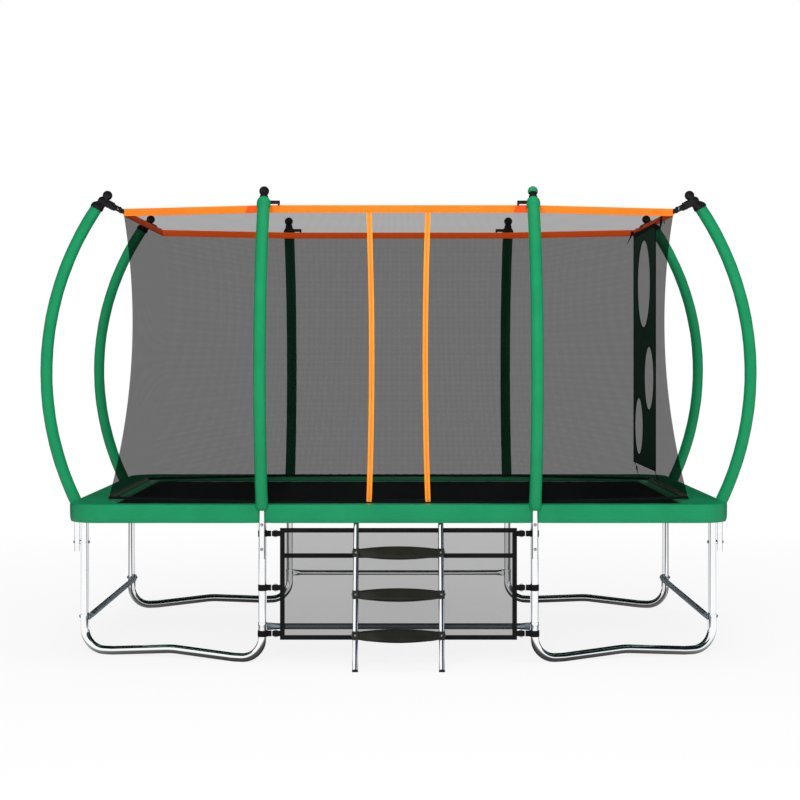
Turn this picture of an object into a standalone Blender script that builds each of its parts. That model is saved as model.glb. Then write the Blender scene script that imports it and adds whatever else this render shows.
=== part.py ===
"""Rectangular garden trampoline with a safety net, a ladder and a small goal net.

Metres, +Z up. The origin lies on the ground under the middle of the frame.
+X runs along the long side, and the ladder and the door face -Y.
"""
import bmesh
import bpy
from math import atan, cos, pi, radians, sin, sqrt
from mathutils import Matrix, Vector

# Clearance between pieces that seat on each other.
GAP = 0.0003
# A cutter reaches this far past what it cuts, and a bore is this much deeper than its plug.
CUT_SPARE = 0.01
BORE_SPARE = 0.002

# Steel frame: rails, legs and braces.
TUBE_SIDES = 12
RAIL_HALF_LENGTH = 1.806
RAIL_HALF_WIDTH = 1.196
RAIL_HEIGHT = 0.845
RAIL_RADIUS = 0.0225
RAIL_CORNER_RADIUS = 0.135
BEND_STEPS = 4
SPIGOT_RADIUS = 0.019
SPIGOT_LENGTH = 0.05
SIDE_POST_INSET = 0.3255
FRONT_POST_INSET = 1.0493
BASE_RADIUS = 0.0247
BASE_BEND_RADIUS = 0.125
BASE_FOOT_RUN = 0.06
BASE_RISE = 0.026
BASE_CREST = 0.03
BASE_CREST_RISE = 0.002
SOCKET_HEIGHT = 0.225
SOCKET_RADIUS = 0.0262
SOCKET_BAND = 0.014
SOCKET_CHAMFER = 0.004
PLUG_DEPTH = 0.06
PLUG_RADIUS = 0.0205
UPRIGHT_RADIUS = 0.0225
TEE_WALL = 0.0037
TEE_HALF_LENGTH = 0.07
BRACE_RADIUS = 0.017
BRACE_SIDES = 8
BRACE_HEIGHT = 0.2
SIDE_BRACE_HEIGHT = 0.212
SPADE_HALF_HEIGHT = 0.021
SPADE_HALF_THICKNESS = 0.002
SPADE_REACH = 0.02
SPADE_LENGTH = 0.045
SPADE_TIP = 0.012
SPADE_TIP_HALF_HEIGHT = 0.0126
SPADE_TAPER = 0.06
TAPER_THIN = 0.7
TAPER_TALL = 1.12

# Bowed net poles with their foam sleeves and caps.
POLE_SIDES = 8
POLE_RADIUS = 0.016
POLE_OUTBOARD = 0.044
POLE_FOOT_DROP = 0.261
POLE_BEND_DROP = 0.015
POLE_BEND_RADIUS = 0.12
POLE_BEND_STEPS = 2
POLE_LEAN = radians(25.5)
POLE_BOW_RADIUS = 1.7
POLE_RISE = 1.718
POLE_BOW_STEPS = 8
BOSS_DROPS = (0.206, 0.07)
BOSS_RADIUS = 0.012
BOSS_SIDES = 6
SLEEVE_RADIUS = 0.035
CAP_WALL = 0.0032
CAP_PLAY = 0.0006
CAP_SKIRT = 0.028
CAP_EDGE_RISE = 0.004
CAP_SHOULDER_RISE = 0.012
CAP_SHOULDER_SHARE = 0.8
CAP_NECK_RISE = 0.032
CAP_NECK_RADIUS = 0.0125
BALL_RADIUS = 0.028
BALL_RISE = 0.087
BALL_ANGLES = (-55, -15, 25, 62)
ARM_RISE = 0.036
ARM_HALF_WIDTH = 0.006
ARM_TIP_HALF_WIDTH = 0.009
ARM_TIP_HALF_HEIGHT = 0.016

# Jumping mat, springs and the pad over them.
MAT_THICKNESS = 0.004
HEM_WIDTH = 0.05
HEM_SLOPE = 0.003
HEM_EXTRA = 0.0015
MAT_INSET = 0.19
MAT_CORNER_RADIUS = 0.1
MAT_CORNER_STEPS = 3
SPRINGS_ALONG = 22
SPRINGS_ACROSS = 14
SPRING_RADIUS = 0.0095
SPRING_HOOK = 0.003
SPRING_TAPER = 0.022
EYELET_WIDTH = 0.02
WEBBING_WIDTH = 0.005
WEBBING_HEIGHT = 0.008
PAD_WIDTH = 0.17
PAD_INNER_RADIUS = 0.06
PAD_CORNER_STEPS = 5
PAD_OVERHANG = 0.047
PAD_FOAM = 0.0135
PAD_EDGE = 0.0045
PAD_ROUND = 0.016
PAD_ROUND_STEPS = 2
PAD_CREST = 0.03
PAD_SHOULDER = 0.102
PAD_SHOULDER_DROP = 0.007
PAD_STEP_PLAY = 0.0052
PAD_STEP_RUN = 0.008
SEAM_INSET = 0.021
SEAM_HALF_WIDTH = 0.003
SEAM_FLOOR = 0.001
SEAM_INNER_RISE = 0.003
SEAM_OUTER_RISE = 0.0045
SKIRT_THICKNESS = 0.007
SKIRT_DROP = 0.058
SKIRT_TUCK = 0.003
SKIRT_TUCK_HEIGHT = 0.03
SKIRT_CORNER = 0.007
SLIT_PLAY = 0.003

# Safety net: eight corners at the poles, and a door in the middle of the front.
NET_FOOT_PLAY = 0.0029
NET_TOP_DROP = 0.002
NET_THICKNESS = 0.003
BAND_HEIGHT = 0.042
BAND_THICKNESS = 0.006
NET_SIDE_REACH = 0.1425
NET_SIDE_SHIFT = 0.0445
NET_MIDDLE_REACH = 0.0605
NET_FOOT_INSET = 0.121
NET_FOOT_SIDE_SHIFT = 0.1105
NET_FOOT_MIDDLE_SHIFT = 0.0333
NET_SIDE_DRAW_X = 0.0853
NET_SIDE_DRAW_Y = 0.0412
NET_MIDDLE_DRAW_X = 0.0402
NET_MIDDLE_DRAW_Y = 0.0557
NET_LEVELS = 7
DOOR_HALF_TOP = 0.168
DOOR_HALF_BOTTOM = 0.166
DOOR_DRAW = 0.015

# Ladder, leaning on the front rail.
LADDER_HALF_WIDTH = 0.235
LADDER_FOOT_REACH = 0.288
LADDER_TOP_INSET = 0.0162
LADDER_RADIUS = 0.0145
LADDER_FOOT_RADIUS = 0.0165
LADDER_FOOT_LENGTH = 0.03
HOOK_PLAY = 0.0007
HOOK_THICKNESS = 0.0036
HOOK_WIDTH = 0.024
HOOK_START = radians(-100)
HOOK_END = radians(-330)
HOOK_STEPS = 12
STEP_HEIGHTS = (0.1955, 0.408, 0.629)
STEP_BLOCK_HALF_WIDTH = 0.0185
STEP_BLOCK_HALF_HEIGHT = 0.024
STEP_BLOCK_HALF_DEPTH = 0.019
STEP_END_HALF_HEIGHT = 0.0204
STEP_END_DEPTH = 0.0152
STEP_SHOULDER = 0.002
STEP_MIDDLE_HALF_HEIGHT = 0.036
STEP_MIDDLE_DEPTH = 0.056

# Goal net between the front posts.
GOAL_SIDE_GAP = 0.0967
GOAL_BOTTOM = 0.132
GOAL_DROP = 0.093
GOAL_BORDER = 0.0235
GOAL_CROSS_DROP = 0.154
GOAL_THICKNESS = 0.0016
GOAL_BORDER_THICKNESS = 0.003
GOAL_HEM_LAP = 0.001
STRAP_LOW_PLAY = 0.0018
STRAP_MIDDLE_DROP = 0.164
STRAP_HIGH_DROP = 0.031
STRAP_HALF_HEIGHT = 0.0138
STRAP_THICKNESS = 0.0025
STRAP_SIDES = 8
STRAP_LAP = 0.008
STRAP_NECK_HALF_HEIGHT = 0.009
STRAP_NECK_HALF_THICKNESS = 0.0022

# Target panel on the right-hand net, with three holes to throw a ball through.
TARGET_INSET = 0.0505
TARGET_REAR_Y = 0.506
TARGET_FRONT_Y = -0.437
TARGET_RISE = 0.1344
TARGET_DROP = 0.054
TARGET_THICKNESS = 0.003
HOLE_SIDES = 20
HOLE_PLACES = (0.056, -0.169, 0.27)
HOLE_RADII = (0.277, 0.1975, 0.183)
HOLE_HEIGHT_SHARES = (0.7693, 0.3719, 0.1621)
TARGET_STRAP_INSET = 0.03
TARGET_STRAP_HALF_WIDTH = 0.0125
TARGET_STRAP_HALF_THICKNESS = 0.001
TARGET_STRAP_LAP = 0.02
TARGET_STRAP_TAIL = 0.06
TARGET_STRAP_FLARE = 0.004
TARGET_STRAP_FLARE_DROP = 0.012
TARGET_TIE_INSET = 0.1275

# Corners of a rectangular section, in order.
CORNER_SIGNS = ((-1, -1), (1, -1), (1, 1), (-1, 1))

# Worked out from the sizes above.
SIDE_POST_OFFSET = RAIL_HALF_WIDTH - SIDE_POST_INSET
FRONT_POST_OFFSET = RAIL_HALF_LENGTH - FRONT_POST_INSET
BASE_HEIGHT = BASE_RADIUS * cos(pi / TUBE_SIDES)
TEE_RADIUS = RAIL_RADIUS + TEE_WALL
HOOK_INNER = RAIL_RADIUS + HOOK_PLAY
HOOK_OUTER = HOOK_INNER + HOOK_THICKNESS
PAD_UNDER = RAIL_HEIGHT + max(TEE_RADIUS, HOOK_OUTER) + GAP
PAD_TOP = PAD_UNDER + PAD_FOAM
PAD_EDGE_UNDER = RAIL_HEIGHT + SPRING_RADIUS + GAP
SKIRT_BOTTOM = RAIL_HEIGHT - SKIRT_DROP
POLE_FOOT = RAIL_HEIGHT - POLE_FOOT_DROP
POLE_BEND_START = RAIL_HEIGHT - POLE_BEND_DROP
POLE_TOP = RAIL_HEIGHT + POLE_RISE
NET_BOTTOM = PAD_TOP + NET_FOOT_PLAY
NET_TOP = POLE_TOP - NET_TOP_DROP
MAT_HALF_LENGTH = RAIL_HALF_LENGTH - MAT_INSET
MAT_HALF_WIDTH = RAIL_HALF_WIDTH - MAT_INSET
BRACE_OFFSET = SOCKET_RADIUS + GAP + SPADE_HALF_THICKNESS
LADDER_SLOPE = (LADDER_FOOT_REACH + LADDER_TOP_INSET) / RAIL_HEIGHT
GOAL_TOP = RAIL_HEIGHT - GOAL_DROP
GOAL_CROSS_BAND = GOAL_TOP - GOAL_CROSS_DROP
STRAP_HEIGHTS = (
    BASE_HEIGHT + BASE_BEND_RADIUS + STRAP_HALF_HEIGHT + STRAP_LOW_PLAY,
    POLE_FOOT - STRAP_MIDDLE_DROP,
    GOAL_TOP - STRAP_HIGH_DROP,
)
TARGET_BOTTOM = PAD_TOP + TARGET_RISE
TARGET_TOP = NET_TOP - TARGET_DROP

# Each post: name, place, and the turn that points its local +X away from the frame.
POSTS = (
    ("right_front", (RAIL_HALF_LENGTH, -SIDE_POST_OFFSET), 0),
    ("right_rear", (RAIL_HALF_LENGTH, SIDE_POST_OFFSET), 0),
    ("rear_right", (FRONT_POST_OFFSET, RAIL_HALF_WIDTH), 90),
    ("rear_left", (-FRONT_POST_OFFSET, RAIL_HALF_WIDTH), 90),
    ("left_rear", (-RAIL_HALF_LENGTH, SIDE_POST_OFFSET), 180),
    ("left_front", (-RAIL_HALF_LENGTH, -SIDE_POST_OFFSET), 180),
    ("front_left", (-FRONT_POST_OFFSET, -RAIL_HALF_WIDTH), 270),
    ("front_right", (FRONT_POST_OFFSET, -RAIL_HALF_WIDTH), 270),
)


def clear_scene():
    for item in list(bpy.data.objects):
        bpy.data.objects.remove(item, do_unlink=True)


def make_material(name, colour, metallic=0.0, roughness=0.6):
    material = bpy.data.materials.new(name)
    material.use_nodes = True
    shader = material.node_tree.nodes["Principled BSDF"]
    shader.inputs["Base Color"].default_value = (*colour, 1.0)
    shader.inputs["Metallic"].default_value = metallic
    shader.inputs["Roughness"].default_value = roughness
    material.diffuse_color = (*colour, 1.0)
    return material


def place(name, mesh, material, location=(0, 0, 0), turn=0.0):
    """Put a mesh in the scene as a named piece with its own material."""
    item = bpy.data.objects.new(name, mesh)
    bpy.context.scene.collection.objects.link(item)
    item.location = location
    item.rotation_euler = (0, 0, radians(turn))
    if not mesh.materials:
        mesh.materials.append(material)
    item.material_slots[0].link = "OBJECT"
    item.material_slots[0].material = material
    return item


def finish_mesh(bm, name, smooth_angle=40):
    bmesh.ops.recalc_face_normals(bm, faces=bm.faces)
    mesh = bpy.data.meshes.new(name)
    bm.to_mesh(mesh)
    bm.free()
    mesh.shade_smooth()
    mesh.set_sharp_from_angle(angle=radians(smooth_angle))
    return mesh


def loft(name, rings, closed=False, smooth_angle=40):
    """Skin a row of equal rings, and cap the two ends unless the row is closed."""
    bm = bmesh.new()
    rows = [[bm.verts.new(point) for point in ring] for ring in rings]
    following = rows[1:] + rows[:1] if closed else rows[1:]
    for row, after in zip(rows, following):
        for i in range(len(row)):
            j = (i + 1) % len(row)
            bm.faces.new((row[i], row[j], after[j], after[i]))
    if not closed:
        bm.faces.new(rows[0])
        bm.faces.new(rows[-1])
    return finish_mesh(bm, name, smooth_angle)


def join_meshes(name, meshes):
    """Gather separate closed shapes into one mesh, for use as a cutter or an addition."""
    bm = bmesh.new()
    for mesh in meshes:
        bm.from_mesh(mesh)
        bpy.data.meshes.remove(mesh)
    mesh = bpy.data.meshes.new(name)
    bm.to_mesh(mesh)
    bm.free()
    return mesh


def combine(mesh, steps, smooth_angle=40):
    """Apply Boolean steps, each an operation and the mesh of its tool, to a mesh."""
    item = bpy.data.objects.new("work", mesh)
    tools = []
    bpy.context.scene.collection.objects.link(item)
    for operation, tool_mesh in steps:
        tool = bpy.data.objects.new("tool", tool_mesh)
        bpy.context.scene.collection.objects.link(tool)
        tools.append(tool)
        modifier = item.modifiers.new(operation, "BOOLEAN")
        modifier.operation = operation
        modifier.object = tool
    graph = bpy.context.evaluated_depsgraph_get()
    result = bpy.data.meshes.new_from_object(item.evaluated_get(graph))
    for used in [item] + tools:
        bpy.data.objects.remove(used, do_unlink=True)
    result.materials.clear()
    result.shade_smooth()
    result.set_sharp_from_angle(angle=radians(smooth_angle))
    return result


def flat_to_flat(radius, sides):
    """Distance from the axis to a flat of a ring with so many sides."""
    return radius * cos(pi / sides)


def around(radius, sides):
    """Radius of a bore whose flats stay clear of a ring with the same sides."""
    return radius + GAP / cos(pi / sides)


def turned_bore(radius, sides):
    """Radius of a bore that clears a ring with the same sides, turned any way."""
    return (radius + GAP) / cos(pi / sides)


def tangents(points):
    """Direction of a path at each point. Points that coincide share theirs."""
    result = []
    for i, point in enumerate(points):
        before = [p for p in points[:i] if (p - point).length > 1e-6]
        after = [p for p in points[i + 1:] if (p - point).length > 1e-6]
        arriving = (point - before[-1]).normalized() if before else None
        leaving = (after[0] - point).normalized() if after else None
        if arriving and leaving:
            result.append((arriving + leaving).normalized())
        else:
            result.append(arriving or leaving)
    return result


def tube_rings(stations, across, sides):
    """Rings along a flat path of (point, radius). across is square to the path's plane."""
    points = [Vector(point) for point, radius in stations]
    across = Vector(across).normalized()
    rings = []
    for (point, radius), along in zip(stations, tangents(points)):
        outward = across.cross(along)
        ring = []
        for k in range(sides):
            angle = (k + 0.5) * 2 * pi / sides
            ring.append(Vector(point) + radius * (cos(angle) * outward + sin(angle) * across))
        rings.append(ring)
    return rings


def tube(name, stations, across, sides=TUBE_SIDES):
    return loft(name, tube_rings(stations, across, sides))


def bar(name, start, end, half_side, half_height):
    """Rectangular bar between two points, with upright ends. Each half size is a pair."""
    start = Vector(start)
    end = Vector(end)
    level = Vector((end.x - start.x, end.y - start.y, 0)).normalized()
    side = Vector((-level.y, level.x, 0))
    up = Vector((0, 0, 1))
    rings = []
    for point, s, h in zip((start, end), half_side, half_height):
        rings.append([point + side * a * s + up * b * h for a, b in CORNER_SIGNS])
    return loft(name, rings)


def box(name, low, high):
    low = Vector(low)
    high = Vector(high)
    bm = bmesh.new()
    bmesh.ops.create_cube(bm, size=1.0)
    bmesh.ops.scale(bm, vec=high - low, verts=bm.verts)
    bmesh.ops.translate(bm, vec=(high + low) / 2, verts=bm.verts)
    return finish_mesh(bm, name)


def arc(centre, radius, start, end, steps, plane):
    """Points of an arc. plane gives the directions of 0 and 90 degrees."""
    first, second = (Vector(direction) for direction in plane)
    points = []
    for k in range(steps + 1):
        angle = start + (end - start) * k / steps
        points.append(Vector(centre) + radius * (cos(angle) * first + sin(angle) * second))
    return points


def make_rail(name, toward, turned):
    """Quarter of the frame: a socket at its start, a rounded corner and a spigot at its end."""
    start_half, end_half = toward
    corner = Vector((start_half - RAIL_CORNER_RADIUS, -end_half + RAIL_CORNER_RADIUS, RAIL_HEIGHT))
    bend = arc(corner, RAIL_CORNER_RADIUS, -pi / 2, 0, BEND_STEPS, ((1, 0, 0), (0, 1, 0)))
    start = Vector((GAP / 2, -end_half, RAIL_HEIGHT))
    end = Vector((start_half, -GAP / 2, RAIL_HEIGHT))
    bore = around(SPIGOT_RADIUS, TUBE_SIDES)
    inside = [(start + Vector((SPIGOT_LENGTH + BORE_SPARE, 0, 0)), bore), (start, bore)]
    outside = [(point, RAIL_RADIUS) for point in [start] + bend + [end]]
    spigot_end = end + Vector((0, SPIGOT_LENGTH, 0))
    spigot = [(end, SPIGOT_RADIUS), (spigot_end, SPIGOT_RADIUS)]
    up = (0, 0, 1)
    rings = tube_rings(list(reversed(inside)), up, TUBE_SIDES)[::-1]
    rings += tube_rings(outside, up, TUBE_SIDES)
    rings += tube_rings(spigot, up, TUBE_SIDES)
    mesh = loft(name, rings)
    if turned:
        mesh.transform(Matrix.Rotation(pi / 2, 4, "Z"))
    return mesh


def make_base(length):
    """U-shaped foot tube in the local XZ plane, from socket to socket, its middle raised."""
    low = BASE_HEIGHT
    bore = turned_bore(PLUG_RADIUS, TUBE_SIDES)
    bend_start = low + BASE_BEND_RADIUS
    half = [
        ((0, 0, SOCKET_HEIGHT - PLUG_DEPTH - BORE_SPARE), bore),
        ((0, 0, SOCKET_HEIGHT), bore),
        ((0, 0, SOCKET_HEIGHT), SOCKET_RADIUS),
        ((0, 0, SOCKET_HEIGHT - SOCKET_BAND), SOCKET_RADIUS),
        ((0, 0, SOCKET_HEIGHT - SOCKET_BAND - SOCKET_CHAMFER), BASE_RADIUS),
    ]
    plane = ((1, 0, 0), (0, 0, 1))
    bend = arc((BASE_BEND_RADIUS, 0, bend_start), BASE_BEND_RADIUS, pi, 1.5 * pi, BEND_STEPS, plane)
    half += [(point, BASE_RADIUS) for point in bend]
    half += [
        ((BASE_BEND_RADIUS + BASE_FOOT_RUN, 0, low), BASE_RADIUS),
        ((length / 2 - BASE_CREST, 0, low + BASE_RISE - BASE_CREST_RISE), BASE_RADIUS),
    ]
    middle = [((length / 2, 0, low + BASE_RISE), BASE_RADIUS)]
    mirrored = [((length - point[0], 0, point[2]), radius) for point, radius in reversed(half)]
    stations = half + middle + mirrored
    mouth = 2
    across = (0, 1, 0)
    rings = tube_rings(stations[mouth:-mouth], across, TUBE_SIDES)
    first_bore = tube_rings([stations[1], stations[0]], across, TUBE_SIDES)
    last_bore = tube_rings([stations[-1], stations[-2]], across, TUBE_SIDES)
    return loft("base", first_bore[::-1] + rings + last_bore[::-1])


def make_upright():
    """Leg tube with a plug below, a tee for the rail on top, and two bosses for the pole."""
    stations = [
        ((0, 0, SOCKET_HEIGHT - PLUG_DEPTH), PLUG_RADIUS),
        ((0, 0, SOCKET_HEIGHT + GAP), PLUG_RADIUS),
        ((0, 0, SOCKET_HEIGHT + GAP), UPRIGHT_RADIUS),
        ((0, 0, RAIL_HEIGHT), UPRIGHT_RADIUS),
    ]
    leg = tube("leg", stations, (0, 1, 0))
    ends = [(0, -TEE_HALF_LENGTH, RAIL_HEIGHT), (0, TEE_HALF_LENGTH, RAIL_HEIGHT)]
    tee = tube("tee", [(point, TEE_RADIUS) for point in ends], (0, 0, 1))
    bosses = []
    boss_end = POLE_OUTBOARD - flat_to_flat(POLE_RADIUS, POLE_SIDES) - GAP
    for drop in BOSS_DROPS:
        height = RAIL_HEIGHT - drop
        reach = [((0, 0, height), BOSS_RADIUS), ((boss_end, 0, height), BOSS_RADIUS)]
        bosses.append(tube("boss", reach, (0, 0, 1), BOSS_SIDES))
    bore_half = TEE_HALF_LENGTH + CUT_SPARE
    longer = [(0, -bore_half, RAIL_HEIGHT), (0, bore_half, RAIL_HEIGHT)]
    bore = tube("bore", [(point, around(RAIL_RADIUS, TUBE_SIDES)) for point in longer], (0, 0, 1))
    steps = [("UNION", join_meshes("added", [tee] + bosses)), ("DIFFERENCE", bore)]
    return combine(leg, steps)


def make_brace(half_length):
    """Cross tube along local X with its ends pressed flat and standing upright."""
    end = half_length + SPADE_REACH
    flat = (SPADE_HALF_THICKNESS, SPADE_HALF_HEIGHT)
    round_part = (BRACE_RADIUS, BRACE_RADIUS)
    half = [
        (end, (SPADE_HALF_THICKNESS, SPADE_TIP_HALF_HEIGHT)),
        (end - SPADE_TIP, flat),
        (end - SPADE_LENGTH, flat),
        (end - SPADE_LENGTH - SPADE_TAPER / 2, (BRACE_RADIUS * TAPER_THIN, BRACE_RADIUS * TAPER_TALL)),
        (end - SPADE_LENGTH - SPADE_TAPER, round_part),
    ]
    sections = [(-x, size) for x, size in half] + [(x, size) for x, size in reversed(half)]
    rings = []
    for x, (thick, tall) in sections:
        angles = [(k + 0.5) * 2 * pi / BRACE_SIDES for k in range(BRACE_SIDES)]
        rings.append([Vector((x, thick * cos(a), tall * sin(a))) for a in angles])
    return loft("brace", rings)


def pole_path():
    """Centre line of a pole in its local XZ plane: upright, a short bend, then the long bow."""
    plane = ((1, 0, 0), (0, 0, 1))
    bend_centre = (POLE_OUTBOARD + POLE_BEND_RADIUS, 0, POLE_BEND_START)
    bend = arc(bend_centre, POLE_BEND_RADIUS, pi, pi - POLE_LEAN, POLE_BEND_STEPS, plane)
    last = bend[-1]
    bow_centre = last - POLE_BOW_RADIUS * Vector((cos(POLE_LEAN), 0, -sin(POLE_LEAN)))
    top_angle = atan((POLE_TOP - bow_centre.z) / sqrt(POLE_BOW_RADIUS**2 - (POLE_TOP - bow_centre.z) ** 2))
    bow = arc(bow_centre, POLE_BOW_RADIUS, -POLE_LEAN, top_angle, POLE_BOW_STEPS, plane)
    return [Vector((POLE_OUTBOARD, 0, POLE_FOOT))] + bend, bow


def make_pole():
    lower, bow = pole_path()
    stations = [(point, POLE_RADIUS) for point in lower + bow[1:]]
    return tube("pole", stations, (0, 1, 0), POLE_SIDES)


def make_sleeve():
    """Foam tube over the bow, open at both ends."""
    lower, bow = pole_path()
    bore = around(POLE_RADIUS, POLE_SIDES)
    outer = tube_rings([(point, SLEEVE_RADIUS) for point in bow], (0, 1, 0), POLE_SIDES)
    inner = tube_rings([(point, bore) for point in bow], (0, 1, 0), POLE_SIDES)
    return loft("sleeve", outer + inner[::-1], closed=True)


def pole_end():
    """Top of the pole and the direction in which it points."""
    lower, bow = pole_path()
    return bow[-1], (bow[-1] - bow[-2]).normalized()


def net_corner(side_post, height):
    """Outer corner of the net's band in the local frame of its pole, for a shift along +Y."""
    plan = net_outline((height - NET_BOTTOM) / (NET_TOP - NET_BOTTOM))
    middle, side = offset_outline(plan, BAND_THICKNESS / 2)[2:4]
    if side_post:
        return Vector((side.x - RAIL_HALF_LENGTH, side.y + SIDE_POST_OFFSET, 0))
    return Vector((-middle.y - RAIL_HALF_WIDTH, 0, 0))


def make_cap(side_post, shift_sign):
    """Cap with a cup over the sleeve, a ball on a neck, and an arm that carries the net."""
    top, along = pole_end()
    cup = SLEEVE_RADIUS + CAP_PLAY
    rim = cup + CAP_WALL
    profile = [
        (GAP, cup),
        (-CAP_SKIRT, cup),
        (-CAP_SKIRT, rim),
        (CAP_EDGE_RISE, rim),
        (CAP_SHOULDER_RISE, rim * CAP_SHOULDER_SHARE),
        (CAP_NECK_RISE, CAP_NECK_RADIUS),
    ]
    for degrees in BALL_ANGLES:
        angle = radians(degrees)
        profile.append((BALL_RISE + BALL_RADIUS * sin(angle), BALL_RADIUS * cos(angle)))
    across = Vector((0, 1, 0))
    outward = across.cross(along)
    angles = [(k + 0.5) * 2 * pi / POLE_SIDES for k in range(POLE_SIDES)]
    rings = []
    for rise, radius in profile:
        centre = top + along * rise
        rings.append([centre + radius * (cos(a) * outward + sin(a) * across) for a in angles])
    cap = loft("cap", rings, smooth_angle=50)
    tip_height = NET_TOP - BAND_HEIGHT / 2
    corner = net_corner(side_post, tip_height + ARM_TIP_HALF_HEIGHT)
    corner.y *= shift_sign
    neck = top + along * ARM_RISE
    level = Vector((corner.x - neck.x, corner.y - neck.y, 0)).normalized()
    tip = corner - level * GAP
    tip.z = tip_height
    half_width = (ARM_HALF_WIDTH, ARM_TIP_HALF_WIDTH)
    half_height = (ARM_HALF_WIDTH, ARM_TIP_HALF_HEIGHT)
    arm = bar("arm", neck, tip, half_width, half_height)
    return combine(cap, [("UNION", arm)], smooth_angle=50)


def rounded_outline(half_x, half_y, radius, steps):
    """Rounded rectangle, anticlockwise from the right-hand side, as points and directions."""
    result = []
    for quarter, (sx, sy) in enumerate(((1, 1), (-1, 1), (-1, -1), (1, -1))):
        centre = Vector((sx * (half_x - radius), sy * (half_y - radius), 0))
        for k in range(steps + 1):
            angle = (quarter + k / steps) * pi / 2
            direction = Vector((cos(angle), sin(angle), 0))
            result.append((centre + radius * direction, direction))
    return result


def make_mat():
    """Jumping mat with a thicker hem all round."""
    outline = rounded_outline(MAT_HALF_LENGTH, MAT_HALF_WIDTH, MAT_CORNER_RADIUS, MAT_CORNER_STEPS)
    half = MAT_THICKNESS / 2
    hem = half + HEM_EXTRA
    profile = ((HEM_WIDTH, half), (HEM_WIDTH - HEM_SLOPE, hem), (GAP, hem))
    profile = profile + tuple((inset, -height) for inset, height in reversed(profile))
    rings = []
    for inset, height in profile:
        offset = Vector((0, 0, RAIL_HEIGHT + height))
        rings.append([point - direction * inset + offset for point, direction in outline])
    return loft("jumping_mat", rings)


def spring_places():
    """Points of the webbing round the mat, in order, with the pairs that carry a spring."""
    half_x = MAT_HALF_LENGTH
    half_y = MAT_HALF_WIDTH
    sides = (
        (Vector((half_x, 0, 0)), Vector((1, 0, 0)), half_y, SPRINGS_ACROSS),
        (Vector((0, half_y, 0)), Vector((0, 1, 0)), half_x, SPRINGS_ALONG),
        (Vector((-half_x, 0, 0)), Vector((-1, 0, 0)), half_y, SPRINGS_ACROSS),
        (Vector((0, -half_y, 0)), Vector((0, -1, 0)), half_x, SPRINGS_ALONG),
    )
    places = []
    corners = rounded_outline(half_x, half_y, MAT_CORNER_RADIUS, MAT_CORNER_STEPS)
    corner_points = MAT_CORNER_STEPS + 1
    for number, (middle, direction, half, count) in enumerate(sides):
        along = Vector((-direction.y, direction.x, 0))
        usable = half - MAT_CORNER_RADIUS
        for k in range(count):
            centre = middle + along * usable * (2 * (k + 0.5) / count - 1)
            places.append((centre - along * EYELET_WIDTH / 2, direction, True))
            places.append((centre + along * EYELET_WIDTH / 2, direction, False))
        for point, turn in corners[number * corner_points:(number + 1) * corner_points]:
            places.append((point, turn, False))
    return places


def spring_reach(centre, direction):
    """Length from the mat's edge to the rail, or to the tee of a post that stands there."""
    along = abs(centre.x) if abs(direction.y) > 0.5 else abs(centre.y)
    post = FRONT_POST_OFFSET if abs(direction.y) > 0.5 else SIDE_POST_OFFSET
    at_tee = abs(along - post) < TEE_HALF_LENGTH + 2 * SPRING_HOOK
    seat = TEE_RADIUS if at_tee else RAIL_RADIUS
    return MAT_INSET - flat_to_flat(seat, TUBE_SIDES) - GAP


def spring_sections(reach):
    """Distance out from the mat's edge and half size of each section of a spring."""
    return (
        (WEBBING_WIDTH + SPRING_TAPER, SPRING_RADIUS),
        (reach - SPRING_TAPER, SPRING_RADIUS),
        (reach, SPRING_HOOK),
    )


def make_springs():
    """Webbing with its row of springs. Each reaches from the mat's edge to the rail."""
    places = spring_places()
    low = RAIL_HEIGHT - WEBBING_HEIGHT / 2
    high = RAIL_HEIGHT + WEBBING_HEIGHT / 2
    bm = bmesh.new()
    rows = []
    for point, direction, carries in places:
        corners = ((0, low), (0, high), (WEBBING_WIDTH, high), (WEBBING_WIDTH, low))
        row = [bm.verts.new(point + direction * out + Vector((0, 0, z))) for out, z in corners]
        rows.append(row)
    for i, row in enumerate(rows):
        after = rows[(i + 1) % len(rows)]
        for k in range(4):
            m = (k + 1) % 4
            if k == 2 and places[i][2]:
                continue
            bm.faces.new((row[k], row[m], after[m], after[k]))
        if places[i][2]:
            direction = places[i][1]
            along = Vector((-direction.y, direction.x, 0))
            centre = (places[i][0] + places[(i + 1) % len(rows)][0]) / 2
            ring = [row[3], after[3], after[2], row[2]]
            for out, half in spring_sections(spring_reach(centre, direction)):
                middle = centre + direction * out + Vector((0, 0, RAIL_HEIGHT))
                points = [middle + along * a * half + Vector((0, 0, b * half)) for a, b in CORNER_SIGNS]
                following = [bm.verts.new(point) for point in points]
                for k in range(4):
                    m = (k + 1) % 4
                    bm.faces.new((ring[k], ring[m], following[m], following[k]))
                ring = following
            bm.faces.new(ring)
    bmesh.ops.dissolve_limit(bm, angle_limit=radians(0.1), verts=bm.verts, edges=bm.edges)
    return finish_mesh(bm, "springs")


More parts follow.
